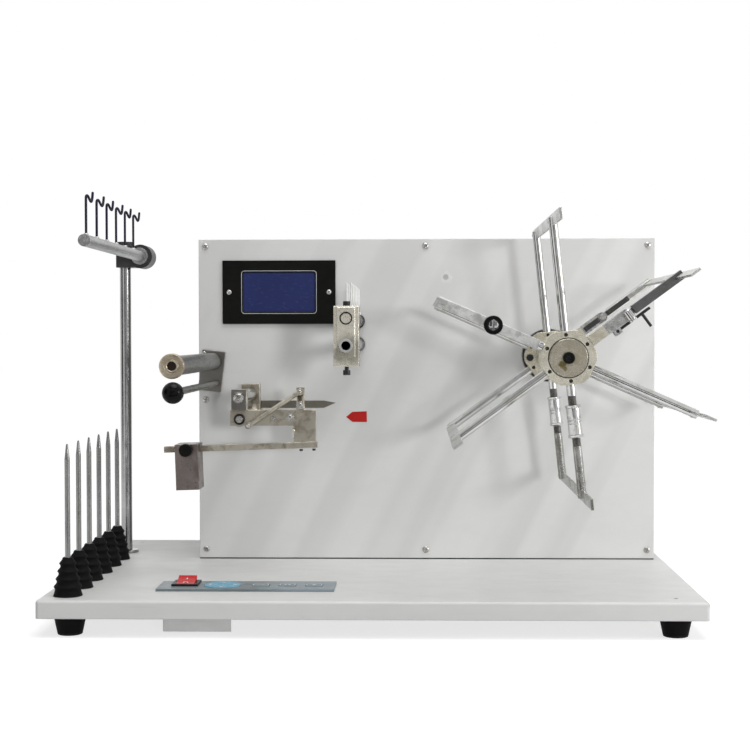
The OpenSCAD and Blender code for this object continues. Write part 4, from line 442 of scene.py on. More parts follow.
    "kneeSteel": metalFinish("kneeSteel", light=(0.7, 0.7, 0.69), dark=(0.4, 0.4, 0.395), tarnish=(0.12, 0.118, 0.11),
        rough=0.26, scale=90.0, stainScale=120.0, level=0.5, stain=0.6, stretch=(200.0, 900.0, 900.0), wear=0.8),
    "clipSteel": metalFinish("clipSteel", light=(0.95, 0.95, 0.94), dark=(0.72, 0.72, 0.71),
        tarnish=(0.36, 0.355, 0.33), rough=0.3, scale=60.0, stainScale=110.0, level=0.5, stain=0.6,
        stretch=(260.0, 700.0, 900.0), bump=0.14, wear=0.6),
    "armGrey": metalFinish("armGrey", light=(0.2, 0.2, 0.2), dark=(0.12, 0.12, 0.12), tarnish=(0.05, 0.048, 0.043),
        rough=0.4, stretch=(300.0, 300.0, 300.0), worn=(0.5, 0.5, 0.49), wear=0.5),
    "darkSteel": metalFinish("darkSteel", light=(0.06, 0.06, 0.062), dark=(0.04, 0.04, 0.041),
        tarnish=(0.05, 0.035, 0.025), rough=0.34, stretch=(500.0, 500.0, 500.0), worn=(0.35, 0.34, 0.33), wear=0.5),
}


def windowFinish():  # liquid crystal pane under a clear face
    m, t, s = startFinish("lcdPane")
    hand = effect(t, "handling", Scale=18.0)
    scan = put(t, "ShaderNodeSeparateXYZ", {0: surfacePlace(t)}).outputs
    rows = math2(t, "PINGPONG", math2(t, "MULTIPLY", scan["Z"], 1400.0), 1.0)
    cols = math2(t, "PINGPONG", math2(t, "MULTIPLY", scan["X"], 1400.0), 1.0)
    dots = span(t, math2(t, "MINIMUM", rows, cols), 0.0, 0.25)
    colour = mixColour(t, hand["Tone"], (0.026, 0.036, 0.130), (0.022, 0.030, 0.108))
    colour = mixColour(t, math2(t, "MULTIPLY", dots, 0.18), colour, (0.018, 0.024, 0.085))
    colour = mixColour(t, math2(t, "MULTIPLY", effect(t, "dust", Cover=0.5)["Mask"], 0.2), colour, (0.3, 0.3, 0.3))
    t.links.new(colour, s.inputs["Base Color"])
    t.links.new(span(t, hand["Smear"], 0.0, 1.0, 0.24, 0.30), s.inputs["Roughness"])
    s.inputs["Specular IOR Level"].default_value = 0.2
    s.inputs["Coat Weight"].default_value = 0.12
    s.inputs["Coat Roughness"].default_value = 0.10
    bumpTo(t, s, hand["Tone"], 0.02, 0.0003)
    return m


finishes["window"] = windowFinish()
print("finishes ready:", len(finishes))


# mesh building, all in millimetres of the part

def along(origin, axis):  # matrix whose Z runs along an axis
    return Matrix.Translation(origin) @ Vector((0, 0, 1)).rotation_difference(Vector(axis)).to_matrix().to_4x4()


reelAxis = (229.5, 333.5)  # x and z of the reel's shaft
firstArm, armStep = 96.2, 60  # degrees
traverseAxis = (-28.0, 380.0)  # x and z of the traverse rod
panelFront = 74.0
outward = Matrix.Rotation(math.radians(90), 4, "Y")  # Z of a lathe to X of an arm


def armFrame(k):  # X outward along a reel arm, Y along the reel's axis
    a = math.radians(firstArm - armStep * k)
    return Matrix(((math.cos(a), 0, -math.sin(a), reelAxis[0]), (0, 1, 0, 0),
                   (math.sin(a), 0, math.cos(a), reelAxis[1]), (0, 0, 0, 1)))


def pour(bm, part, at=Matrix.Identity(4), index=None):  # adds one shape to another
    part.transform(at)
    if index is not None:
        for f in part.faces:
            f.material_index = index
    hold = bpy.data.meshes.new("hold")
    part.to_mesh(hold)
    part.free()
    bm.from_mesh(hold)
    bpy.data.meshes.remove(hold)


def ring(count, radius, turn=0.0):
    turns = [turn + 2 * math.pi * i / count for i in range(count)]
    return [(radius * math.cos(a), radius * math.sin(a)) for a in turns]


def lathe(profile, steps):  # (radius, along) pairs turned about Z
    part = bmesh.new()
    rings = []
    for r, z in profile:
        if r < 1e-6:
            rings.append([part.verts.new((0, 0, z))])
        else:
            rings.append([part.verts.new((x, y, z)) for x, y in ring(steps, r)])
    for low, high in zip(rings, rings[1:]):
        for i in range(steps):
            j = (i + 1) % steps
            if len(low) == 1 and len(high) > 1:
                part.faces.new((low[0], high[j], high[i]))
            elif len(high) == 1 and len(low) > 1:
                part.faces.new((low[i], low[j], high[0]))
            elif len(low) > 1:
                part.faces.new((low[i], low[j], high[j], high[i]))
    bmesh.ops.recalc_face_normals(part, faces=part.faces)
    return part


def soften(part, width, segments=2, angle=35):
    rims = [e for e in part.edges if len(e.link_faces) == 2 and e.calc_face_angle(0) > math.radians(angle)]
    if width > 0 and rims:
        bmesh.ops.bevel(part, geom=rims, offset=width, segments=segments, profile=0.5, affect="EDGES",
            clamp_overlap=True)
    return part


def prism(outline, z0, z1, soft=0.0, segments=2):  # outline in X and Y, raised along Z
    part = bmesh.new()
    face = part.faces.new([part.verts.new((x, y, z0)) for x, y in outline])
    lifted = bmesh.ops.extrude_face_region(part, geom=[face])["geom"]
    for v in lifted:
        if isinstance(v, bmesh.types.BMVert):
            v.co.z = z1
    bmesh.ops.recalc_face_normals(part, faces=part.faces)
    return soften(part, soft, segments)


def block(low, high, soft=0.4):
    (x0, y0, z0), (x1, y1, z1) = low, high
    return prism([(x0, y0), (x1, y0), (x1, y1), (x0, y1)], z0, z1, soft)


def loops(rows):  # a closed band through rows of points, the last joined to the first
    part = bmesh.new()
    rows = [[part.verts.new(p) for p in row] for row in rows]
    for low, high in zip(rows, rows[1:] + rows[:1]):
        for i in range(len(low)):
            j = (i + 1) % len(low)
            part.faces.new((low[i], low[j], high[j], high[i]))
    bmesh.ops.recalc_face_normals(part, faces=part.faces)
    return part


def roundedBox(w, h, r, steps=6):
    x, y, points = w / 2 - r, h / 2 - r, []
    for cx, cy, start in ((x, y, 0), (-x, y, 90), (-x, -y, 180), (x, -y, 270)):
        turns = [math.radians(start + 90 * i / steps) for i in range(steps + 1)]
        points += [(cx + r * math.cos(a), cy + r * math.sin(a)) for a in turns]
    return points


def curved(points, per=8):  # smooth run through points
    p = [Vector(q) for q in points]
    p = [2 * p[0] - p[1]] + p + [2 * p[-1] - p[-2]]
    run = []
    for a, b, c, d in zip(p, p[1:], p[2:], p[3:]):
        for i in range(per):
            u = i / per
            run.append(0.5 * (2 * b + (c - a) * u + (2 * a - 5 * b + 4 * c - d) * u * u
                              + (3 * b - a - 3 * c + d) * u ** 3))
    return run + [p[-2]]


def wire(path, radius, steps=14):  # round wire with domed ends
    part = bmesh.new()
    path = [Vector(q) for q in path]
    radii = radius if isinstance(radius, list) else [radius] * len(path)
    ends = []
    for p, q, r in ((path[0], path[1], radii[0]), (path[-1], path[-2], radii[-1])):
        out = (p - q).normalized()
        ends.append([(p + out * r * math.sin(a), r * math.cos(a)) for a in (0.5, 1.0, 1.4)])
    run = ends[0][::-1] + list(zip(path, radii)) + ends[1]
    tangents = [(b[0] - a[0]).normalized() for a, b in zip([run[0]] + run[:-1], run[1:] + [run[-1]])]
    side = tangents[0].orthogonal().normalized()
    rings, last = [], tangents[0]
    for (p, r), t in zip(run, tangents):
        side = last.rotation_difference(t) @ side
        side = (side - t * side.dot(t)).normalized()
        other, last = t.cross(side), t
        rings.append([part.verts.new(p + r * (side * u + other * v)) for u, v in ring(steps, 1.0)])
    for low, high in zip(rings, rings[1:]):
        for i in range(steps):
            part.faces.new((low[i], low[(i + 1) % steps], high[(i + 1) % steps], high[i]))
    part.faces.new(rings[0][::-1])
    part.faces.new(rings[-1])
    bmesh.ops.recalc_face_normals(part, faces=part.faces)
    return part


def cut(part, tool):  # takes one shape out of another
    objects = []
    for bm in (part, tool):
        data = bpy.data.meshes.new("hold")
        bm.to_mesh(data)
        bm.free()
        objects.append(bpy.data.objects.new("hold", data))
        bpy.context.scene.collection.objects.link(objects[-1])
    mod = objects[0].modifiers.new("cut", "BOOLEAN")
    mod.operation, mod.object, mod.solver = "DIFFERENCE", objects[1], "EXACT"
    done = bmesh.new()
    done.from_object(objects[0], bpy.context.evaluated_depsgraph_get())
    for o in objects:
        data = o.data
        bpy.data.objects.remove(o)
        bpy.data.meshes.remove(data)
    return done


def addPiece(name, bm, body, looks, stands=(), sharp=32, at=None):
    if at is not None:
        bm.transform(at)
    bmesh.ops.remove_doubles(bm, verts=bm.verts, dist=1e-5)
    mesh = bpy.data.meshes.new(name)
    bm.transform(Matrix.Scale(mm, 4))
    bm.to_mesh(mesh)
    bm.free()
    for look in (looks if isinstance(looks, (list, tuple)) else [looks]):
        mesh.materials.append(finishes[look])
    for p in mesh.polygons:
        p.use_smooth = True
    mesh.set_sharp_from_angle(angle=math.radians(sharp))
    piece = bpy.data.objects.new(name, mesh)
    bpy.context.scene.collection.objects.link(piece)
    even = piece.modifiers.new("even", "WEIGHTED_NORMAL")  # flat faces stay flat beside their soft rims
    even.keep_sharp = True
    piece.data = bpy.data.meshes.new_from_object(piece.evaluated_get(bpy.context.evaluated_depsgraph_get()))
    piece.modifiers.clear()
    bpy.data.meshes.remove(mesh)
    piece.data.name = name
    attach(piece, body)
    if stands:
        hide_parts(*stands)
    return piece


def pieceName(node):  # a node's name in the style of the scene
    first, *rest = node.split("_")
    return first + "".join(w.capitalize() for w in rest)


def dress(node, bm, looks, sharp=32, at=None):  # a piece that stands for one node
    return addPiece(pieceName(node), bm, bodyOf[node], looks, (node,), sharp, at)


def softNode(node, width, looks, choose=None, bend=None, planes=()):  # a CAD node with its rims broken
    bm = bmesh.new()
    bm.from_mesh(nodes[node].data)
    bm.transform(Matrix.Scale(1 / mm, 4))
    bmesh.ops.remove_doubles(bm, verts=bm.verts, dist=1e-4)
    bmesh.ops.dissolve_limit(bm, angle_limit=0.004, verts=bm.verts, edges=bm.edges)
    for f in bm.faces:
        f.material_index = 0
    for point, normal in planes:  # a line where the finish changes
        bmesh.ops.bisect_plane(bm, geom=bm.verts[:] + bm.edges[:] + bm.faces[:], plane_co=point, plane_no=normal)
    if bend:  # folded sheet edges
        rims = [e for e in bm.edges if all(bend["on"](v.co) for v in e.verts)]
        bmesh.ops.bevel(bm, geom=rims, offset=bend["r"], segments=5, profile=0.5, affect="EDGES", clamp_overlap=True)
    soften(bm, width, angle=40)
    if choose:
        for f in bm.faces:
            f.material_index = int(choose(f.calc_center_median()))
    return dress(node, bm, looks)


# rims of the plain solids: finish and softening in millimetres
plainNodes = {
    "cabinet_shell": ("powder", 0.8), "front_panel": ("panel", 0.5), "back_cover": ("powder", 0.0),
    "display_bezel": ("trim", 0.7), "switch_frame": ("trim", 0.4), "wiring_box": ("greyBox", 0.7),
    "mains_inlet": ("trim", 0.5), "creel_post": ("chrome", 0.5), "cross_clamp": ("clamp", 0.7),
    "balance_pivot": ("screw", 0.5), "bearing_housing": ("housing", 0.6), "tension_plate": ("plate", 0.5),
    "tension_rods": ("tension", 0.4), "balance_beam": ("agedNickel", 0.4), "yarn_roller": ("armChrome", 0.5),
    "pointer": ("pointer", 0.2), "poise_weight": ("poise", 0.6), "reel_shaft": ("spindle", 0.4),
    "reel_hub": ("nickel", 0.5), "hub_cap": ("capNickel", 0.6), "winding_bars": ("bar", 0.35),
    "knee_pins": ("screw", 0.4), "release_lever": ("darkSteel", 0.35),
}
for node, (look, width) in plainNodes.items():
    softNode(node, width, look)

tray = {"r": 3.5, "on": lambda v: v.z > 44.9 and (abs(v.x) > 394.9 or abs(v.y) > 262.9)}  # its folded edges
softNode("base_tray", 1.0, "powder", bend=tray)

# solids with two finishes: softening, finishes, where the second one is
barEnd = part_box("hook_bar")[0].y / mm + 0.3
splitNodes = {
    "balance_lever": (0.4, ["agedNickel", "plate"], lambda p: p.y < -88.4),
    "hub_screws": (0.3, ["darkSteel", "trim"], lambda p: math.hypot(p.x - reelAxis[0], p.z - reelAxis[1]) < 8),
    "hook_bar": (0.7, ["aluminium", "sawn"], lambda p: p.y < barEnd),
    "traverse_bracket": (0.6, ["faceNickel", "castBlock"], lambda p: p.y >= -267.9),
    "traverse_rod": (0.4, ["chrome", "faceNickel"], lambda p: p.y < -275.0),
    "traverse_tube": (0.4, ["chrome", "bar"], lambda p: p.y < -276.0),
}
for node, (width, looks, second) in splitNodes.items():
    softNode(node, width, looks, choose=second)

# solids that keep their own mesh
bareNodes = {"control_board": "board", "drive_motor": "motor", "drive_belt": "belt", "traverse_motor": "motor",
             "heart_cam": "housing", "motor_pulley": "spindle", "display_window": "window", "keypad_strip": "strip"}
for node, look in bareNodes.items():
    nodes[node].data.materials.clear()
    nodes[node].data.materials.append(finishes[look])
print("plain solids dressed:", len(plainNodes) + len(splitNodes) + len(bareNodes) + 1)


# screws: one head of each kind, set wherever it is used
def facing(x, y, z, spin=0.0):  # looking out of the panel, turned by some radians
    return along((x, y, z), (0, -1, 0)) @ Matrix.Rotation(spin, 4, "Z")


def crossHead(d, h):
    dome = lathe([(0, 0), (d * 0.5, 0), (d * 0.5, h * 0.28), (d * 0.46, h * 0.55), (d * 0.36, h * 0.82),
                  (d * 0.2, h * 0.96), (0, h)], 32)
    a, b = d * 0.30, d * 0.075  # reach and half width of the cross
    cross = prism([(a, b), (b, b), (b, a), (-b, a), (-b, b), (-a, b), (-a, -b), (-b, -b), (-b, -a), (b, -a),
                   (b, -b), (a, -b)], h * 0.4, h + 1)
    return cut(dome, cross)


def socketHead(d, h):
    head = lathe([(0, 0), (d * 0.5, 0), (d * 0.5, h - 0.5), (d * 0.5 - 0.5, h), (0, h)], 32)
    return cut(head, prism(ring(6, d * 0.29), h * 0.45, h + 1))


def slotHead(d, h, slotWidth):
    head = lathe([(0, 0), (d * 0.5, 0), (d * 0.5, h * 0.45), (d * 0.44, h * 0.8), (d * 0.3, h * 0.95), (0, h)], 40)
    w = slotWidth / 2
    return cut(head, prism([(-d, -w), (d, -w), (d, w), (-d, w)], h * 0.42, h + 1))


caseScrew = {"head": (9.0, 2.6), "xs": (-242.5, 67.5, 377.5), "zs": (58.5, 270.0, 485.5), "back": 248.0,
             "floorXs": (-243.0, 378.0), "floorYs": (130.0, 192.0), "floorZ": 47.0}
display = {"x": -138.5, "z": 421.0, "front": 71.0, "w": 106.0, "h": 60.5, "r": 4.5, "line": 0.7,
           "head": (6.75, 1.56), "screwGap": 70.3}


def caseScrews(c, d):
    bm, head, small = bmesh.new(), crossHead(*c["head"]), crossHead(*d["head"])
    middle = (c["xs"][1], c["zs"][1])  # no screw there
    places = [(x, z) for x in c["xs"] for z in c["zs"] if (x, z) != middle]
    for n, (x, z) in enumerate(places, 1):
        spin = 0.7 * n  # no two slots line up
        pour(bm, head.copy(), facing(x, panelFront, z, spin))
        pour(bm, head.copy(), along((x, c["back"], z), (0, 1, 0)) @ Matrix.Rotation(spin, 4, "Z"))
    for s in (-1, 1):
        pour(bm, small.copy(), facing(d["x"] + s * d["screwGap"], d["front"], d["z"], 0.4 * s))
    for x in c["floorXs"]:
        for y in c["floorYs"]:
            pour(bm, head.copy(), along((x, y, c["floorZ"]), (0, 0, 1)))
    head.free()
    small.free()
    return dress("case_screws", bm, "screw")


caseScrews(caseScrew, display)


# feet, spindles and cones
foot = {"xs": (-364.0, 364.0), "ys": (-240.0, 240.0),
        "profile": [(0, 5), (6, 5), (6, 0.5), (6.6, 0), (13.8, 0), (14.7, 0.4), (15.2, 1.6), (15.7, 4),
                    (19.0, 19.6), (19.4, 20.2), (20, 20.8), (20, 42.6), (19.6, 43), (0, 43)]}
cone = {"x": -368.0, "first": -233.0, "pitch": 60.0, "count": 6, "base": 45.0, "height": 47.0, "top": 6.4,
        "low": 17.7, "tiers": 5, "step": 1.7, "lip": 1.2, "bore": 4.1, "recess": (7.1, 16.3)}
spindle = {"profile": [(0, 45), (7, 45), (7, 61), (4, 61), (4, 91.6), (3.25, 92.2), (3.25, 210.6), (3.1, 211.6),
                       (1.5, 226.8), (1.15, 228.6), (0.6, 229.3), (0, 229.5)]}

bm = bmesh.new()
for x in foot["xs"]:
    for y in foot["ys"]:
        pour(bm, lathe(foot["profile"], 56), Matrix.Translation((x, y, 0)))
dress("rubber_feet", bm, "rubber")


def coneProfile(c):
    top, rise = c["base"] + c["height"], c["height"] / c["tiers"]
    run = [(c["bore"], top), (5.3, top), (6.2, top - 0.8)]
    for i in range(c["tiers"]):
        step, lip = (c["step"], c["lip"]) if i < c["tiers"] - 1 else (0.0, 0.0)  # the lowest tier has no lip
        r0 = c["top"] + (c["low"] - c["top"]) * i / c["tiers"]
        r1 = c["top"] + (c["low"] - c["top"]) * (i + 1) / c["tiers"] + step
        z0, z1 = top - rise * i, top - rise * (i + 1)
        run += [(r0 + 0.1, z0 - 1.6), (r0 + (r1 - r0) * 0.30, z0 - rise * 0.42),
                (r0 + (r1 - r0) * 0.70, z1 + lip + 2.6), (r1 - 0.35, z1 + lip + 1.3), (r1, z1 + lip + 0.7),
                (r1 - 0.3, z1 + lip + 0.1), (r1 - 0.9, z1 + lip * 0.6)]
    r, deep = c["recess"]
    return run + [(r, c["base"]), (r, c["base"] + deep), (c["bore"], c["base"] + deep + 0.1), (c["bore"], top)]


bm, pins = bmesh.new(), bmesh.new()
for i in range(cone["count"]):
    at = Matrix.Translation((cone["x"], cone["first"] + i * cone["pitch"], 0)) @ Matrix.Rotation(0.5 * i, 4, "Z")
    pour(bm, lathe(coneProfile(cone), 56), at)
    pour(pins, lathe(spindle["profile"], 32), at)
dress("spindle_cones", bm, "rubber", 50)
dress("spindle_pins", pins, "spindle")
print("feet, cones and spindles made")


# wire hooks on the bar
hook = {"x": -343.0, "z": 474.5, "radius": 1.6, "leans": (4, -3, 2, -2, 3, -1),
        "bend": [(0, 0, 2), (0, 0, 20), (0, 0, 38), (0, 0, 49.5), (0.2, 0.2, 53.2), (1.1, 1.2, 54.6),
                 (2.2, 2.5, 53.6), (3.5, 3.9, 50.6), (4.7, 5.1, 48.0), (5.6, 6.0, 47.5), (6.3, 6.9, 49.6),
                 (6.8, 7.6, 54.6), (7.0, 8.0, 58.2)],
        "nut": [(1.7, 7.0), (3.1, 7.0), (3.1, 8.2), (2.5, 8.9), (1.7, 9.0)]}
bm = bmesh.new()
for i, lean in enumerate(hook["leans"]):
    at = Matrix.Translation((hook["x"], cone["first"] + i * cone["pitch"], hook["z"]))
    pour(bm, wire(curved(hook["bend"], 5), hook["radius"]), at @ Matrix.Rotation(math.radians(lean), 4, "Z"))
    pour(bm, lathe(hook["nut"], 24), at, 1)
addPiece("hookWires", bm, "hooks", ["hookWire", "screw"], ("yarn_hooks",), 60)


# display: pale line round the pane
def lineBetween(outer, inner, low, high):  # a flat line between two outlines
    sides = ((outer, low), (outer, high), (inner, high), (inner, low))
    return loops([[(x, y, z) for x, y in run] for run, z in sides])


def displayLine(d):
    outer = roundedBox(d["w"], d["h"], d["r"])
    inner = roundedBox(d["w"] - 2 * d["line"], d["h"] - 2 * d["line"], d["r"] - d["line"])
    at = Matrix.Translation((d["x"], d["front"], d["z"])) @ Matrix.Rotation(math.radians(90), 4, "X")
    return addPiece("displayLine", lineBetween(outer, inner, -0.3, 0.15), "root", "mark", at=at)


displayLine(display)


# keypad: printed marks, round pad, keys, rocker
pad = {"x": -188.0, "y": -170.5, "top": 48.8, "low": 45.9, "r": 23.0, "arrowAt": 15.1,
       "arrow": [(3.6, 0), (-1.4, 3.3), (-0.4, 0), (-1.4, -3.3)]}
keys = {"xs": {"left_key": -139.8, "middle_key": -106.5, "right_key": -73.2}, "w": 22.0, "d": 15.0,
        "signs": {"left_key": [(-4.5, 4.5, -0.4, 0.4)], "right_key": [(-2.2, 2.2, -2.2, 2.2)],
                  "middle_key": [(-3.6, -1.2, -2.2, 2.2), (1.2, 3.6, -2.2, 2.2)]}}
rocker = {"x": -234.5, "y": -162.5, "z": 49.5, "tilt": 12.5, "w": 23.0, "half": 14.3, "end": 4.5, "fall": 1.2,
          "hollow": 0.75, "signAt": 0.52}


def arrowPad(c):
    r, top = c["r"], c["top"]
    bm = lathe([(0, c["low"]), (r, c["low"]), (r, top - 0.5), (r - 0.5, top - 0.06), (r - 2, top - 0.02),
                (8.2, top - 0.02), (7.6, top - 0.5), (7.0, top - 0.5), (6.4, top - 0.04), (0, top)], 64)
    for i in range(4):
        turn = Matrix.Rotation(math.pi / 2 * i, 4, "Z")
        pour(bm, prism(c["arrow"], top - 0.3, top + 0.05), turn @ Matrix.Translation((c["arrowAt"], 0, 0)), 1)
    return dress("arrow_pad", bm, ["key", "mark"], at=Matrix.Translation((c["x"], c["y"], 0)))


def keyCap(node, x, c, p):
    w, d, low, top = c["w"], c["d"], p["top"] - 0.2, p["top"] + 0.05  # the print stands a little proud
    bm = prism(roundedBox(w, d, 2.0), p["low"], p["top"], 0.45)
    pour(bm, lineBetween(roundedBox(w - 2.4, d - 2.4, 2.2), roundedBox(w - 4.4, d - 4.4, 1.4), low, top), index=1)
    for x0, x1, y0, y1 in c["signs"][node]:
        pour(bm, block((x0, y0, low), (x1, y1, top), 0.0), index=1)
    return dress(node, bm, ["keyGrey", "mark"], at=Matrix.Translation((x, p["y"], 0)))


def hoop(r0, r1, z0, z1, steps):  # square ring about Z
    return lathe([(r0, z0), (r1, z0), (r1, z1), (r0, z1), (r0, z0)], steps)


def rockerCap(c):
    h, end, fall = c["half"], c["end"], c["fall"]
    dips = [(i / 6, c["hollow"] * math.sin(math.pi * i / 6)) for i in range(1, 7)]
    top = [(-h, end)] + [(-h + h * u, end - fall * u - dip) for u, dip in dips]
    top += [(h * u, end - fall + fall * u - dip) for u, dip in dips]
    bm = prism([(-h, 1), (-0.8 * h, -3.6), (0.8 * h, -3.6), (h, 1)] + top[::-1], -c["w"] / 2, c["w"] / 2, 0.35)
    quarter = math.radians(90)
    bm.transform(Matrix.Rotation(quarter, 4, "Z") @ Matrix.Rotation(quarter, 4, "X"))  # outline X along Y, Y up
    y, z = h * c["signAt"], end - fall - 0.03 + fall * c["signAt"] - c["hollow"]
    pour(bm, block((-0.75, y - 3.2, z - 0.5), (0.75, y + 3.2, z + 0.16), 0.0), index=1)
    pour(bm, hoop(2.2, 3.3, z - 0.5, z + 0.16, 32), Matrix.Translation((0, -y, 0)), 1)
    at = Matrix.Translation((c["x"], c["y"], c["z"])) @ Matrix.Rotation(math.radians(c["tilt"]), 4, "X")
    return dress("power_rocker", bm, ["red", "mark"], at=at)


arrowPad(pad)
for node, x in keys["xs"].items():
    keyCap(node, x, keys, pad)
rockerCap(rocker)
print("display, keypad and switch made")


# turning yarn tension: end cap and ball
tension = {"x": -232.0, "z": 324.0, "front": -286.0, "r": 15.0, "bore": 5.3}
ball = {"at": (-227.4, -304.0, 293.4), "r": 12.75, "neck": 6.75}


def tensionCap(c):
    r, b = c["r"], c["bore"]
    bm = lathe([(0, 6.0), (b - 1.2, 6.0), (b - 0.2, 5.0), (b, 0.9), (b + 0.7, 0.25), (7.6, 0.1), (7.9, 0.45),
                (8.4, 0.45), (8.7, 0.1), (13.2, 0.1), (14.4, 0.6), (r, 1.7), (r, 8), (0, 8)], 64)
    for f in bm.faces:
        p = f.calc_center_median()
        f.material_index = 1 if p.xy.length < b + 0.1 and p.z < 7 else 0  # dark inside the bore
    return dress("tension_cap", bm, ["brass", "socket"], at=along((c["x"], c["front"], c["z"]), (0, 1, 0)))


def ballKnob(c):
    r, neck = c["r"], c["neck"]
    turns = [math.radians(a) for a in range(6, 148, 6)]
    run = [(0, -r)] + [(r * math.sin(a), -r * math.cos(a)) for a in turns]
    run += [(neck, 11.2), (neck, 13.3), (neck - 0.5, 13.75), (4.6, 13.75), (4.6, 2.0), (0, 2.0)]
    return dress("ball_knob", lathe(run, 64), "ball", 40, along(c["at"], (0, 1, 0)))


tensionCap(tension)
ballKnob(ball)


# balance: thumb screw, washers and small screws on the lever, solder bead, nut on the roller
thumb = {"r": 8.5, "length": 10.0, "flutes": 30, "flute": 0.55}
balance = {"front": -88.0, "pivot": (-176.0, 251.0), "washers": ((-109.9, 253.9), (-96.8, 269.6)),
           "slotScrew": (-132.0, 252.6), "beamScrews": ((-95.8, 212.0), (-79.0, 212.6)),
           "rivets": ((-164.0, 243.0, 2.6), (-96.5, 287.0, 2.4))}
bead = {"x": -105.2, "y": -86.6, "z0": 243.0, "z1": 226.5, "bumps": [1.0, 1.7, 1.3, 2.2, 1.5, 1.9, 1.1, 1.6, 0.8]}
rollerNut = {"head": (12.0, 2.6, 1.4), "at": (-176.0, -99.3, 279.0), "spin": 0.5}


def thumbScrew(c):
    low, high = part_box("thumb_screw")
    x, z = (low.x + high.x) / 2 / mm, (low.z + high.z) / 2 / mm
    tall, points = c["length"], []
    for i in range(c["flutes"] * 2):
        r, a = c["r"] - (c["flute"] if i % 2 else 0.0), math.pi * i / c["flutes"]
        points.append((r * math.cos(a), r * math.sin(a)))
    bm = prism(points, 0.7, tall - 0.6)
    pour(bm, lathe([(0, tall), (6.8, tall), (7.8, tall - 0.6), (7.8, 0.7), (7.2, 0), (2.5, 0), (2.5, -17.5),
                    (0, -17.5)], 40))
    return dress("thumb_screw", bm, "trim", at=facing(x, low.y / mm + tall, z))


def leverBits(c):
    y, bm = c["front"], bmesh.new()
    collar = lathe([(4.75, 0), (7.2, 0), (7.2, 1.6), (6.6, 2.3), (5.4, 2.3), (4.75, 1.8), (4.75, 0)], 40)
    pour(bm, collar, facing(c["pivot"][0], y, c["pivot"][1]), 1)
    for x, z in c["washers"]:
        washer = lathe([(2.0, 0), (5.2, 0), (5.2, 0.7), (4.9, 0.9), (2.0, 0.9), (2.0, 0)], 32)
        pour(bm, washer, facing(x, y, z), 0)
        pour(bm, crossHead(6.4, 1.9), facing(x, y - 0.9, z, 0.6), 0)
    x, z = c["slotScrew"]
    pour(bm, slotHead(5.0, 1.6, 0.9), facing(x, y, z, 0.9), 0)
    for x, z in c["beamScrews"]:  # they hold the beam from below
        pour(bm, socketHead(4.6, 2.6), along((x, y + 3.0, z), (0.03, 0, -1)), 1)
    for x, z, r in c["rivets"]:  # ends of the stay
        pour(bm, lathe([(0, 0), (r, 0), (r, 0.5), (r * 0.7, 1.1), (0, 1.3)], 24), facing(x, y - 6.3, z), 0)
    return addPiece("leverBits", bm, "balance", ["screw", "darkSteel"])


def leverBead(c):
    fall = (c["z1"] - c["z0"]) / 8
    run = [(c["x"] + 0.5 * math.sin(2.1 * i), c["y"], c["z0"] + fall * i) for i in range(9)]
    return addPiece("leverBead", wire(run, c["bumps"], 12), "balance", "nickel", sharp=60)


thumbScrew(thumb)
leverBits(balance)
leverBead(bead)
addPiece("rollerNut", slotHead(*rollerNut["head"]), "roller", "screw",
         at=facing(*rollerNut["at"], rollerNut["spin"]))


# index arrow, thin dark line along the panel's foot, guide bush and plate screw on the panel
arrow = {"outline": [(-44.7, 245.4), (-35.8, 252.6), (-15.4, 253.4), (-15.2, 238.2), (-35.6, 238.4)]}
footLine = {"x0": -251.6, "x1": 386.6, "y0": 73.4, "z0": 45.0, "z1": 46.5}
bush = {"in": 6.7, "out": 10.2, "deep": 5.0}
plateScrew = {"head": (5.4, 1.7), "at": (-243.9, 67.7, 335.6), "spin": 0.9}


def guideBush(c):
    a, b, h = c["in"], c["out"], c["deep"]
    bm = lathe([(a, 0), (b, 0), (b, h - 0.8), (b - 0.5, h), (b - 1.6, h), (b - 1.9, h - 0.5), (a + 0.3, h - 0.5),
                (a, h - 0.8), (a, 0)], 56)
    for f in bm.faces:
        f.material_index = 0 if f.calc_center_median().xy.length > b - 1.8 else 1
    return addPiece("guideBush", bm, "root", ["clamp", "faceNickel"],
                    at=facing(traverseAxis[0], panelFront, traverseAxis[1]))


bm = prism([(x, -z) for x, z in arrow["outline"]], -0.05, 0.35, 0.1, 1)
bm.transform(Matrix.Translation((0, panelFront, 0)) @ Matrix.Rotation(math.radians(-90), 4, "X")
             @ Matrix.Scale(-1, 4, (0, 0, 1)))
bmesh.ops.recalc_face_normals(bm, faces=bm.faces)
addPiece("indexArrow", bm, "root", "arrow")
# a thin dark strip where the panel meets the tray
bm = block((footLine["x0"], footLine["y0"], footLine["z0"]), (footLine["x1"], panelFront, footLine["z1"]), 0.3)
addPiece("panelSeal", bm, "root", "rubber")
guideBush(bush)
addPiece("plateScrew", crossHead(*plateScrew["head"]), "tension", "screw",
         at=facing(*plateScrew["at"], plateScrew["spin"]))


# traverse: glazed forks, clamp screws, wiper ring round the rod
fork = {"first": -195.0, "pitch": 50.0, "count": 6, "foot": 8.25, "half": 5.0, "tip": 43.5, "low": 14.6, "r": 1.5,
        "turn": 33.0,
        "leg": [(1.0, 36), (1.0, 29), (0.92, 23.5), (0.66, 18.6), (0.32, 15.6)]}  # share of the half, height
clampScrew = {"y": -255.0, "head": (8.8, 6.0), "r": 2.5,
              "places": ((394.5, 1, 7.2, 0.0), (323.2, -1, 15.3, 4.5))}  # height, up or down, depth, lift of the head
wiper = {"hoop": (6.45, 7.35, 0.5, -1.6, 48), "front": -275.9}


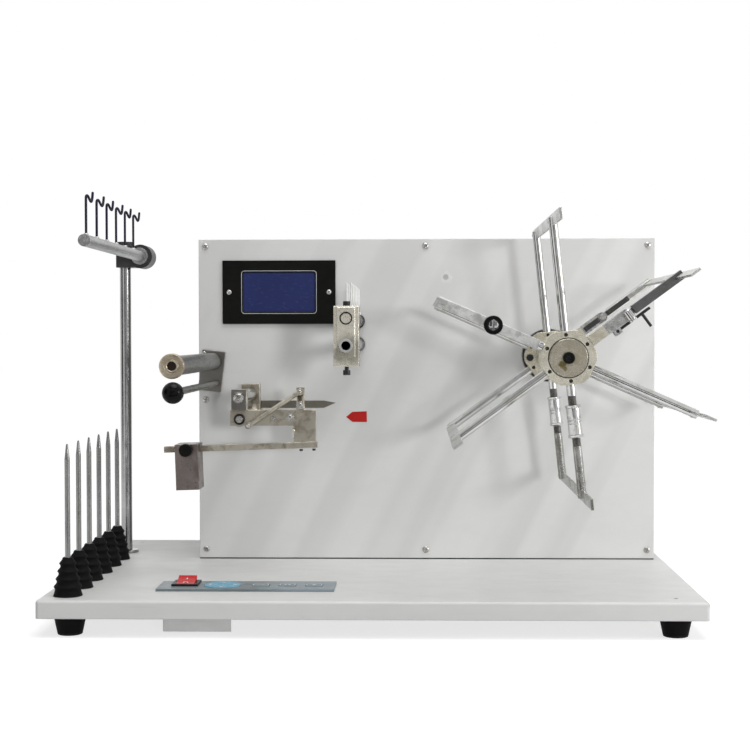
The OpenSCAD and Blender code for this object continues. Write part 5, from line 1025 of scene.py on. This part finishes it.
def yarnForks(c):
    bm, tip = bmesh.new(), c["tip"]
    leg = [(c["half"] * share, z) for share, z in [(1.0, tip)] + c["leg"]]
    run = curved([(0, -y, z) for y, z in leg] + [(0, 0, c["low"])] + [(0, y, z) for y, z in leg[::-1]], 5)
    radii = [c["r"] - 0.3 * max(0.0, (p.z - 24) / (tip - 24)) for p in run]
    for i in range(c["count"]):
        at = (Matrix.Translation((traverseAxis[0], c["first"] + i * c["pitch"], traverseAxis[1]))
              @ Matrix.Rotation(math.radians(c["turn"]), 4, "Z"))
        pour(bm, wire(run, radii, 18), at)
        pour(bm, prism(roundedBox(6.8, 12.6, 2.2), c["foot"] - 0.4, c["foot"] + 4.4, 0.8), at)
        pour(bm, lathe([(0, 11), (2.9, 11), (2.4, 12.6), (1.8, 14.4), (1.2, 15.2), (0, 15.4)], 24), at)
    return dress("yarn_forks", bm, "ceramic", 60)


def traverseScrews(c):
    bm, r = bmesh.new(), c["r"]
    for z, way, deep, lift in c["places"]:
        at = along((traverseAxis[0], c["y"], z), (0, 0, way))
        pour(bm, socketHead(*c["head"]), at @ Matrix.Translation((0, 0, lift)))
        pour(bm, lathe([(0, -deep), (r, -deep), (r, lift), (0, lift)], 24), at)
    return dress("traverse_screws", bm, "darkSteel")


yarnForks(fork)
traverseScrews(clampScrew)
addPiece("rodWiper", hoop(*wiper["hoop"]), "root", "rubber",
         at=facing(traverseAxis[0], wiper["front"], traverseAxis[1]))
print("tension, balance and traverse made")


# reel: rods, threads, sleeves, clip
reel = {"front": -293.0, "rear": -55.0, "in": 18.0, "out": 163.67, "r": 5.25, "edge": 166.67, "barIn": 153.67,
        "y0": -391.0, "y1": -27.0, "plain": (0, 2, 4), "folding": 1, "adjusting": 3, "clipped": 5, "pitch": 1.25}
clip = {"out": 94.0, "blade": ((35.0, -2.5, -5.75), (2.5, 5.75)), "rootOut": 37.0}


def onArm(k, y, out=0.0):  # a place on one arm, so far along the shaft and out from it
    return armFrame(k) @ Matrix.Translation((out, y, 0))


def rod(r0, r1, thread=None):  # a thread gets the dark finish
    r = reel["r"]
    run = [(0, r0), (r - 0.3, r0), (r, r0 + 0.3)]
    if thread:
        z = thread[0]
        while z < thread[1]:
            run += [(r - 0.05, z), (r - 0.75, z + reel["pitch"] / 2)]
            z += reel["pitch"]
        run += [(r, z)]
    part = lathe(run + [(r, r1 - 0.5), (r - 0.5, r1), (0, r1)], 32)
    for f in part.faces:
        f.material_index = 2 if thread and thread[0] < f.calc_center_median().z < thread[1] else 0
    return part


def rivets(bm, at):  # pins that hold a bar in its rods
    for s in (-1, 1):
        pour(bm, lathe([(0, 4.6), (1.9, 4.6), (1.9, 5.4), (1.2, 5.9), (0, 6.0)], 20),
             at @ along((reel["out"] - 5.2, 0, 0), (0, 0, s)), 1)


def armRods(c):
    bm, ends = bmesh.new(), ("front", "rear")
    for k, y in [(k, y) for k in reel["plain"] for y in ends] + [(reel["clipped"], "rear")]:
        at = onArm(k, reel[y])
        pour(bm, rod(reel["in"], reel["out"]), at @ outward)
        rivets(bm, at)
    for y in ends:
        pour(bm, rod(reel["in"], 61.0, (44.0, 60.0)), onArm(reel["adjusting"], reel[y]) @ outward)
    at = onArm(reel["clipped"], reel["front"])
    pour(bm, rod(reel["in"], c["rootOut"]), at @ outward)
    low, (y, z) = c["blade"]
    pour(bm, block(low, (reel["out"], y, z), 0.5), at, 3)
    pour(bm, crossHead(4.6, 1.4), at @ along((reel["out"] - 6.0, -y, 0.0), (0, -1, 0)), 1)
    return dress("arm_rods", bm, ["armChrome", "screw", "thread", "clipSteel"])


def adjustingArm():
    bm, k = bmesh.new(), reel["adjusting"]
    for y in ("front", "rear"):
        pour(bm, rod(87.0, reel["out"], (88.0, 103.0)), onArm(k, reel[y]) @ outward)
        rivets(bm, onArm(k, reel[y]))
    pour(bm, block((reel["barIn"], reel["y0"], -1.5), (reel["edge"], reel["y1"], 1.5), 0.35), armFrame(k), 0)
    return dress("adjusting_arm", bm, ["dullRod", "screw", "thread"])


def sleeve(node, y):
    bore, r = reel["r"] + 0.05, 8.25
    bm = lathe([(bore, 55.3), (r - 0.9, 55.3), (r - 0.3, 58.3), (r, 58.8), (r, 71.2), (r - 0.4, 71.6),
                (r - 0.4, 72.4), (r, 72.8), (r, 75.2), (r - 0.4, 75.6), (r - 0.4, 76.4), (r, 76.8), (r, 89.2),
                (r - 0.7, 89.7), (r - 0.9, 92.7), (bore, 92.7), (bore, 55.3)], 48)
    for z in (55.0, 89.5):  # lock nuts
        hole = lathe([(0, z - 1), (bore, z - 1), (bore, z + 5), (0, z + 5)], 32)
        pour(bm, cut(prism(ring(6, 9.25, 0.3), z, z + 3.5, 0.35), hole))
    return dress(node, bm, "armChrome", at=onArm(reel["adjusting"], y) @ outward)


def yarnClip(c):
    at = armFrame(reel["clipped"]) @ along((c["out"], reel["front"] + c["blade"][0][1], 0), (0, -1, 0))
    bm = bmesh.new()
    pour(bm, lathe([(0, 0), (9.6, 0), (10.6, 0.6), (11, 1.6), (11, 4.4), (10.6, 5.4), (9.6, 6), (7.2, 6),
                    (6.6, 5.2), (0, 5.2)], 64), at, 0)
    pour(bm, slotHead(12.4, 3.4, 1.9), at @ Matrix.Translation((0, 0, 5.1)) @ Matrix.Rotation(1.9, 4, "Z"), 1)
    return dress("yarn_clip", bm, ["rubber", "chrome"])


armRods(clip)
adjustingArm()
sleeve("front_sleeve", reel["front"])
sleeve("rear_sleeve", reel["rear"])
yarnClip(clip)


# knee of the folding arm, black rim behind the rear hub, dark joint line round the cap
knee = {"cut": 54.0, "half": 3.3, "at": 85.0, "barrel": 5.4, "low": -9.4, "high": 5.2, "forward": 13.9,
        "strips": (("kneeStripIn", "reel", 56.0, 79.5, -7.5, -6.2),
                   ("kneeStripOut", "folder", 92.5, 127.0, -6.3, -4.2))}  # from, to, front, back
hubRim = {"y": -43.1, "profile": [(18.0, 0.0), (34.6, 0.0), (35.3, 0.5), (35.3, 4.6), (34.8, 5.0), (18.0, 5.0),
                                  (18.0, 0.0)]}
groove = {"y": -304.05, "hoop": (22.4, 23.5, 0.1, -0.2, 72)}
fromFolder = armFrame(reel["folding"])
toFolder = fromFolder.inverted()


def folderLook(p):  # grey arm in front, bright rod behind, bar across both
    q = toFolder @ p
    if q.x > reel["barIn"] - 0.2 and abs(q.z) < 1.6:
        return 2
    return 0 if p.y < -170 else 1


def kneeFittings(c):  # black channel strips on the rear arm, bright lock barrel in front
    for name, body, r0, r1, y0, y1 in c["strips"]:
        bm = block((r0, y0, -c["half"]), (r1, y1, c["half"]), 0.4)
        for s in (-1, 1):
            pour(bm, lathe([(0, 0), (1.5, 0), (1.5, 0.5), (1.0, 0.9), (0, 1.0)], 20),
                 along(((r0 + r1) / 2 + s * (r1 - r0) * 0.40, y0, 0), (0, -1, 0)))
        addPiece(name, bm, body, "clamp", at=onArm(reel["folding"], reel["rear"]))
    z0, z1, r = c["low"], c["high"], c["barrel"]
    bm = lathe([(0, z0), (r - 0.6, z0), (r, z0 + 0.6), (r, z0 + 2.2), (r - 0.5, z0 + 2.6), (r - 0.5, z0 + 3.2),
                (r, z0 + 3.6), (r, z1 - 0.8), (r - 0.8, z1), (1.8, z1), (1.6, z1 - 1.2), (0, z1 - 1.2)], 44)
    addPiece("kneeBarrel", bm, "reel", "armChrome",
             at=onArm(reel["folding"], reel["front"] - c["forward"], c["at"]))


addPiece("hubRim", lathe(hubRim["profile"], 72), "reel", "clamp",
         at=along((reelAxis[0], hubRim["y"], reelAxis[1]), (0, 1, 0)))
kneeCut = (fromFolder @ Vector((knee["cut"], 0, 0)), fromFolder.to_3x3() @ Vector((1, 0, 0)))
softNode("knee_forks", 0.4, ["nickel", "kneeSteel"], choose=lambda p: (toFolder @ p).x >= knee["cut"] - 0.1,
         planes=[kneeCut])  # cast root, ground cheeks
softNode("folding_arm", 0.4, ["armGrey", "armChrome", "bar"], choose=folderLook)
kneeFittings(knee)
addPiece("capGroove", hoop(*groove["hoop"]), "reel", "clamp",
         at=facing(reelAxis[0], groove["y"], reelAxis[1]))
print("reel made")


# pins of the mains inlet
inlet = {"x": -182.0, "z": 100.0, "pins": ((-7.0, -2.0), (7.0, -2.0), (0.0, 3.0)), "half": (1.0, 2.4),
         "y": (236.0, 249.5)}
bm = bmesh.new()
for x, z in [(inlet["x"] + x, inlet["z"] + z) for x, z in inlet["pins"]]:
    (w, h), (y0, y1) = inlet["half"], inlet["y"]
    pour(bm, block((x - w, y0, z - h), (x + w, y1, z + h), 0.4))
addPiece("inletPins", bm, "root", "screw")


# floor, light and background; each lamp has a place, an aim, a size and a power
studio = {"lamps": {"key": ((1.03, -4.17, 0.533), (0.23, 0.07, 0.28), 0.36, 44.0),
                    "side": ((1.35, -0.75, 0.55), (0.1, 0.0, 0.25), 0.6, 7.0),
                    "top": ((0.2, -0.55, 2.4), (0.05, -0.1, 0.05), 1.8, 38.0)},
          "sky": 0.30, "paper": 0.43, "nearGlow": 0.72, "farGlow": 0.87, "glowRun": (0.7, 1.9), "floor": 28.0,
          "drop": 0.0002}
# each card has a place, an aim, a size and a tone
cards = {"left": ((-2.6, -0.9, 0.7), (0.0, -0.2, 0.3), (1.6, 2.6), 0.05),
         "right": ((1.9, -1.5, 0.6), (0.1, 0.0, 0.3), (0.35, 2.2), 0.05),
         "low": ((0.3, -1.0, 0.03), (0.3, -0.99, 1.0), (1.8, 0.7), 0.06),
         "behind": ((0.1, -3.6, 0.7), (0.1, 0.0, 0.3), (3.4, 2.6), 0.43),
         "streak": ((-0.5, -2.7, 0.9), (0.0, 0.0, 0.3), (0.5, 2.0), 0.03),
         "above": ((0.0, -1.3, 2.6), (0.0, 0.0, 0.3), (3.2, 1.3), 0.07)}


def aim(place, look):
    return (Vector(look) - Vector(place)).to_track_quat("-Z", "Y").to_euler()


def sheet(name, size, m):  # a flat rectangle
    bm = bmesh.new()
    bmesh.ops.create_grid(bm, x_segments=1, y_segments=1, size=0.5)
    bm.transform(Matrix.Diagonal((size[0], size[1], 1, 1)))
    mesh = bpy.data.meshes.new(name)
    bm.to_mesh(mesh)
    bm.free()
    mesh.materials.append(m)
    flat = bpy.data.objects.new(name, mesh)
    bpy.context.scene.collection.objects.link(flat)
    return flat


def lamp(name, place, look, size, power):
    data = bpy.data.lights.new(name, "AREA")
    data.energy, data.size, data.shape = power, size, "DISK"
    lampObject = bpy.data.objects.new(name, data)
    lampObject.location, lampObject.rotation_euler = place, aim(place, look)
    lampObject.visible_camera = False
    lampObject.visible_glossy = name != "keyLamp"  # the metals mirror the cards instead
    bpy.context.scene.collection.objects.link(lampObject)


def seenRay(tree):  # 1 where the camera, a mirror or glass looks
    path = tree.nodes.new("ShaderNodeLightPath").outputs
    return math2(tree, "MAXIMUM", math2(tree, "MAXIMUM", path["Is Camera Ray"], path["Is Glossy Ray"]),
                 path["Is Transmission Ray"])


def plainMaterial(name):
    m, t, s = startFinish(name)
    t.nodes.remove(s)
    return m, t, t.nodes["Material Output"].inputs["Surface"]


def addStudio(s):
    for name, where in s["lamps"].items():
        lamp(name + "Lamp", *where)
    world = bpy.data.worlds.new("studio")
    bpy.context.scene.world = world
    world.use_nodes = True
    t = world.node_tree
    back = t.nodes["Background"]
    back.inputs["Color"].default_value = (1, 1, 1, 1)
    t.links.new(span(t, seenRay(t), 0.0, 1.0, s["sky"], 1.0), back.inputs["Strength"])
    m, t, surface = plainMaterial("floorPaper")
    paper = put(t, "ShaderNodeBsdfDiffuse", {"Color": (s["paper"], s["paper"], s["paper"], 1.0)})
    far = put(t, "ShaderNodeVectorMath", {0: surfacePlace(t)}, operation="LENGTH").outputs["Value"]
    lift = span(t, far, *s["glowRun"], s["nearGlow"], s["farGlow"])  # the paper runs out to white
    glow = put(t, "ShaderNodeEmission", {"Color": (1, 1, 1, 1), "Strength": math2(t, "MULTIPLY", seenRay(t), lift)})
    both = put(t, "ShaderNodeAddShader", {0: paper.outputs[0], 1: glow.outputs[0]})
    t.links.new(both.outputs[0], surface)
    floor = sheet("floor", (s["floor"], s["floor"]), m)
    floor.location.z = -s["drop"]


def addCards(c):  # grey cards that only shiny surfaces see
    for name, (place, look, size, tone) in c.items():
        m, t, surface = plainMaterial(name + "Card")
        cloud = span(t, noise(t, surfacePlace(t), 2.4, 2.0, 0.5), 0.38, 0.62, tone * 0.45, tone * 1.6)
        grey = put(t, "ShaderNodeEmission", {"Color": (1, 1, 1, 1), "Strength": cloud})
        t.links.new(grey.outputs[0], surface)
        card = sheet(name + "Card", size, m)
        card.location, card.rotation_euler = place, aim(place, look)
        card.visible_camera = card.visible_diffuse = card.visible_shadow = card.visible_transmission = False


addStudio(studio)
addCards(cards)
bpy.context.scene.view_settings.view_transform = "Standard"

bpy.context.view_layer.update()
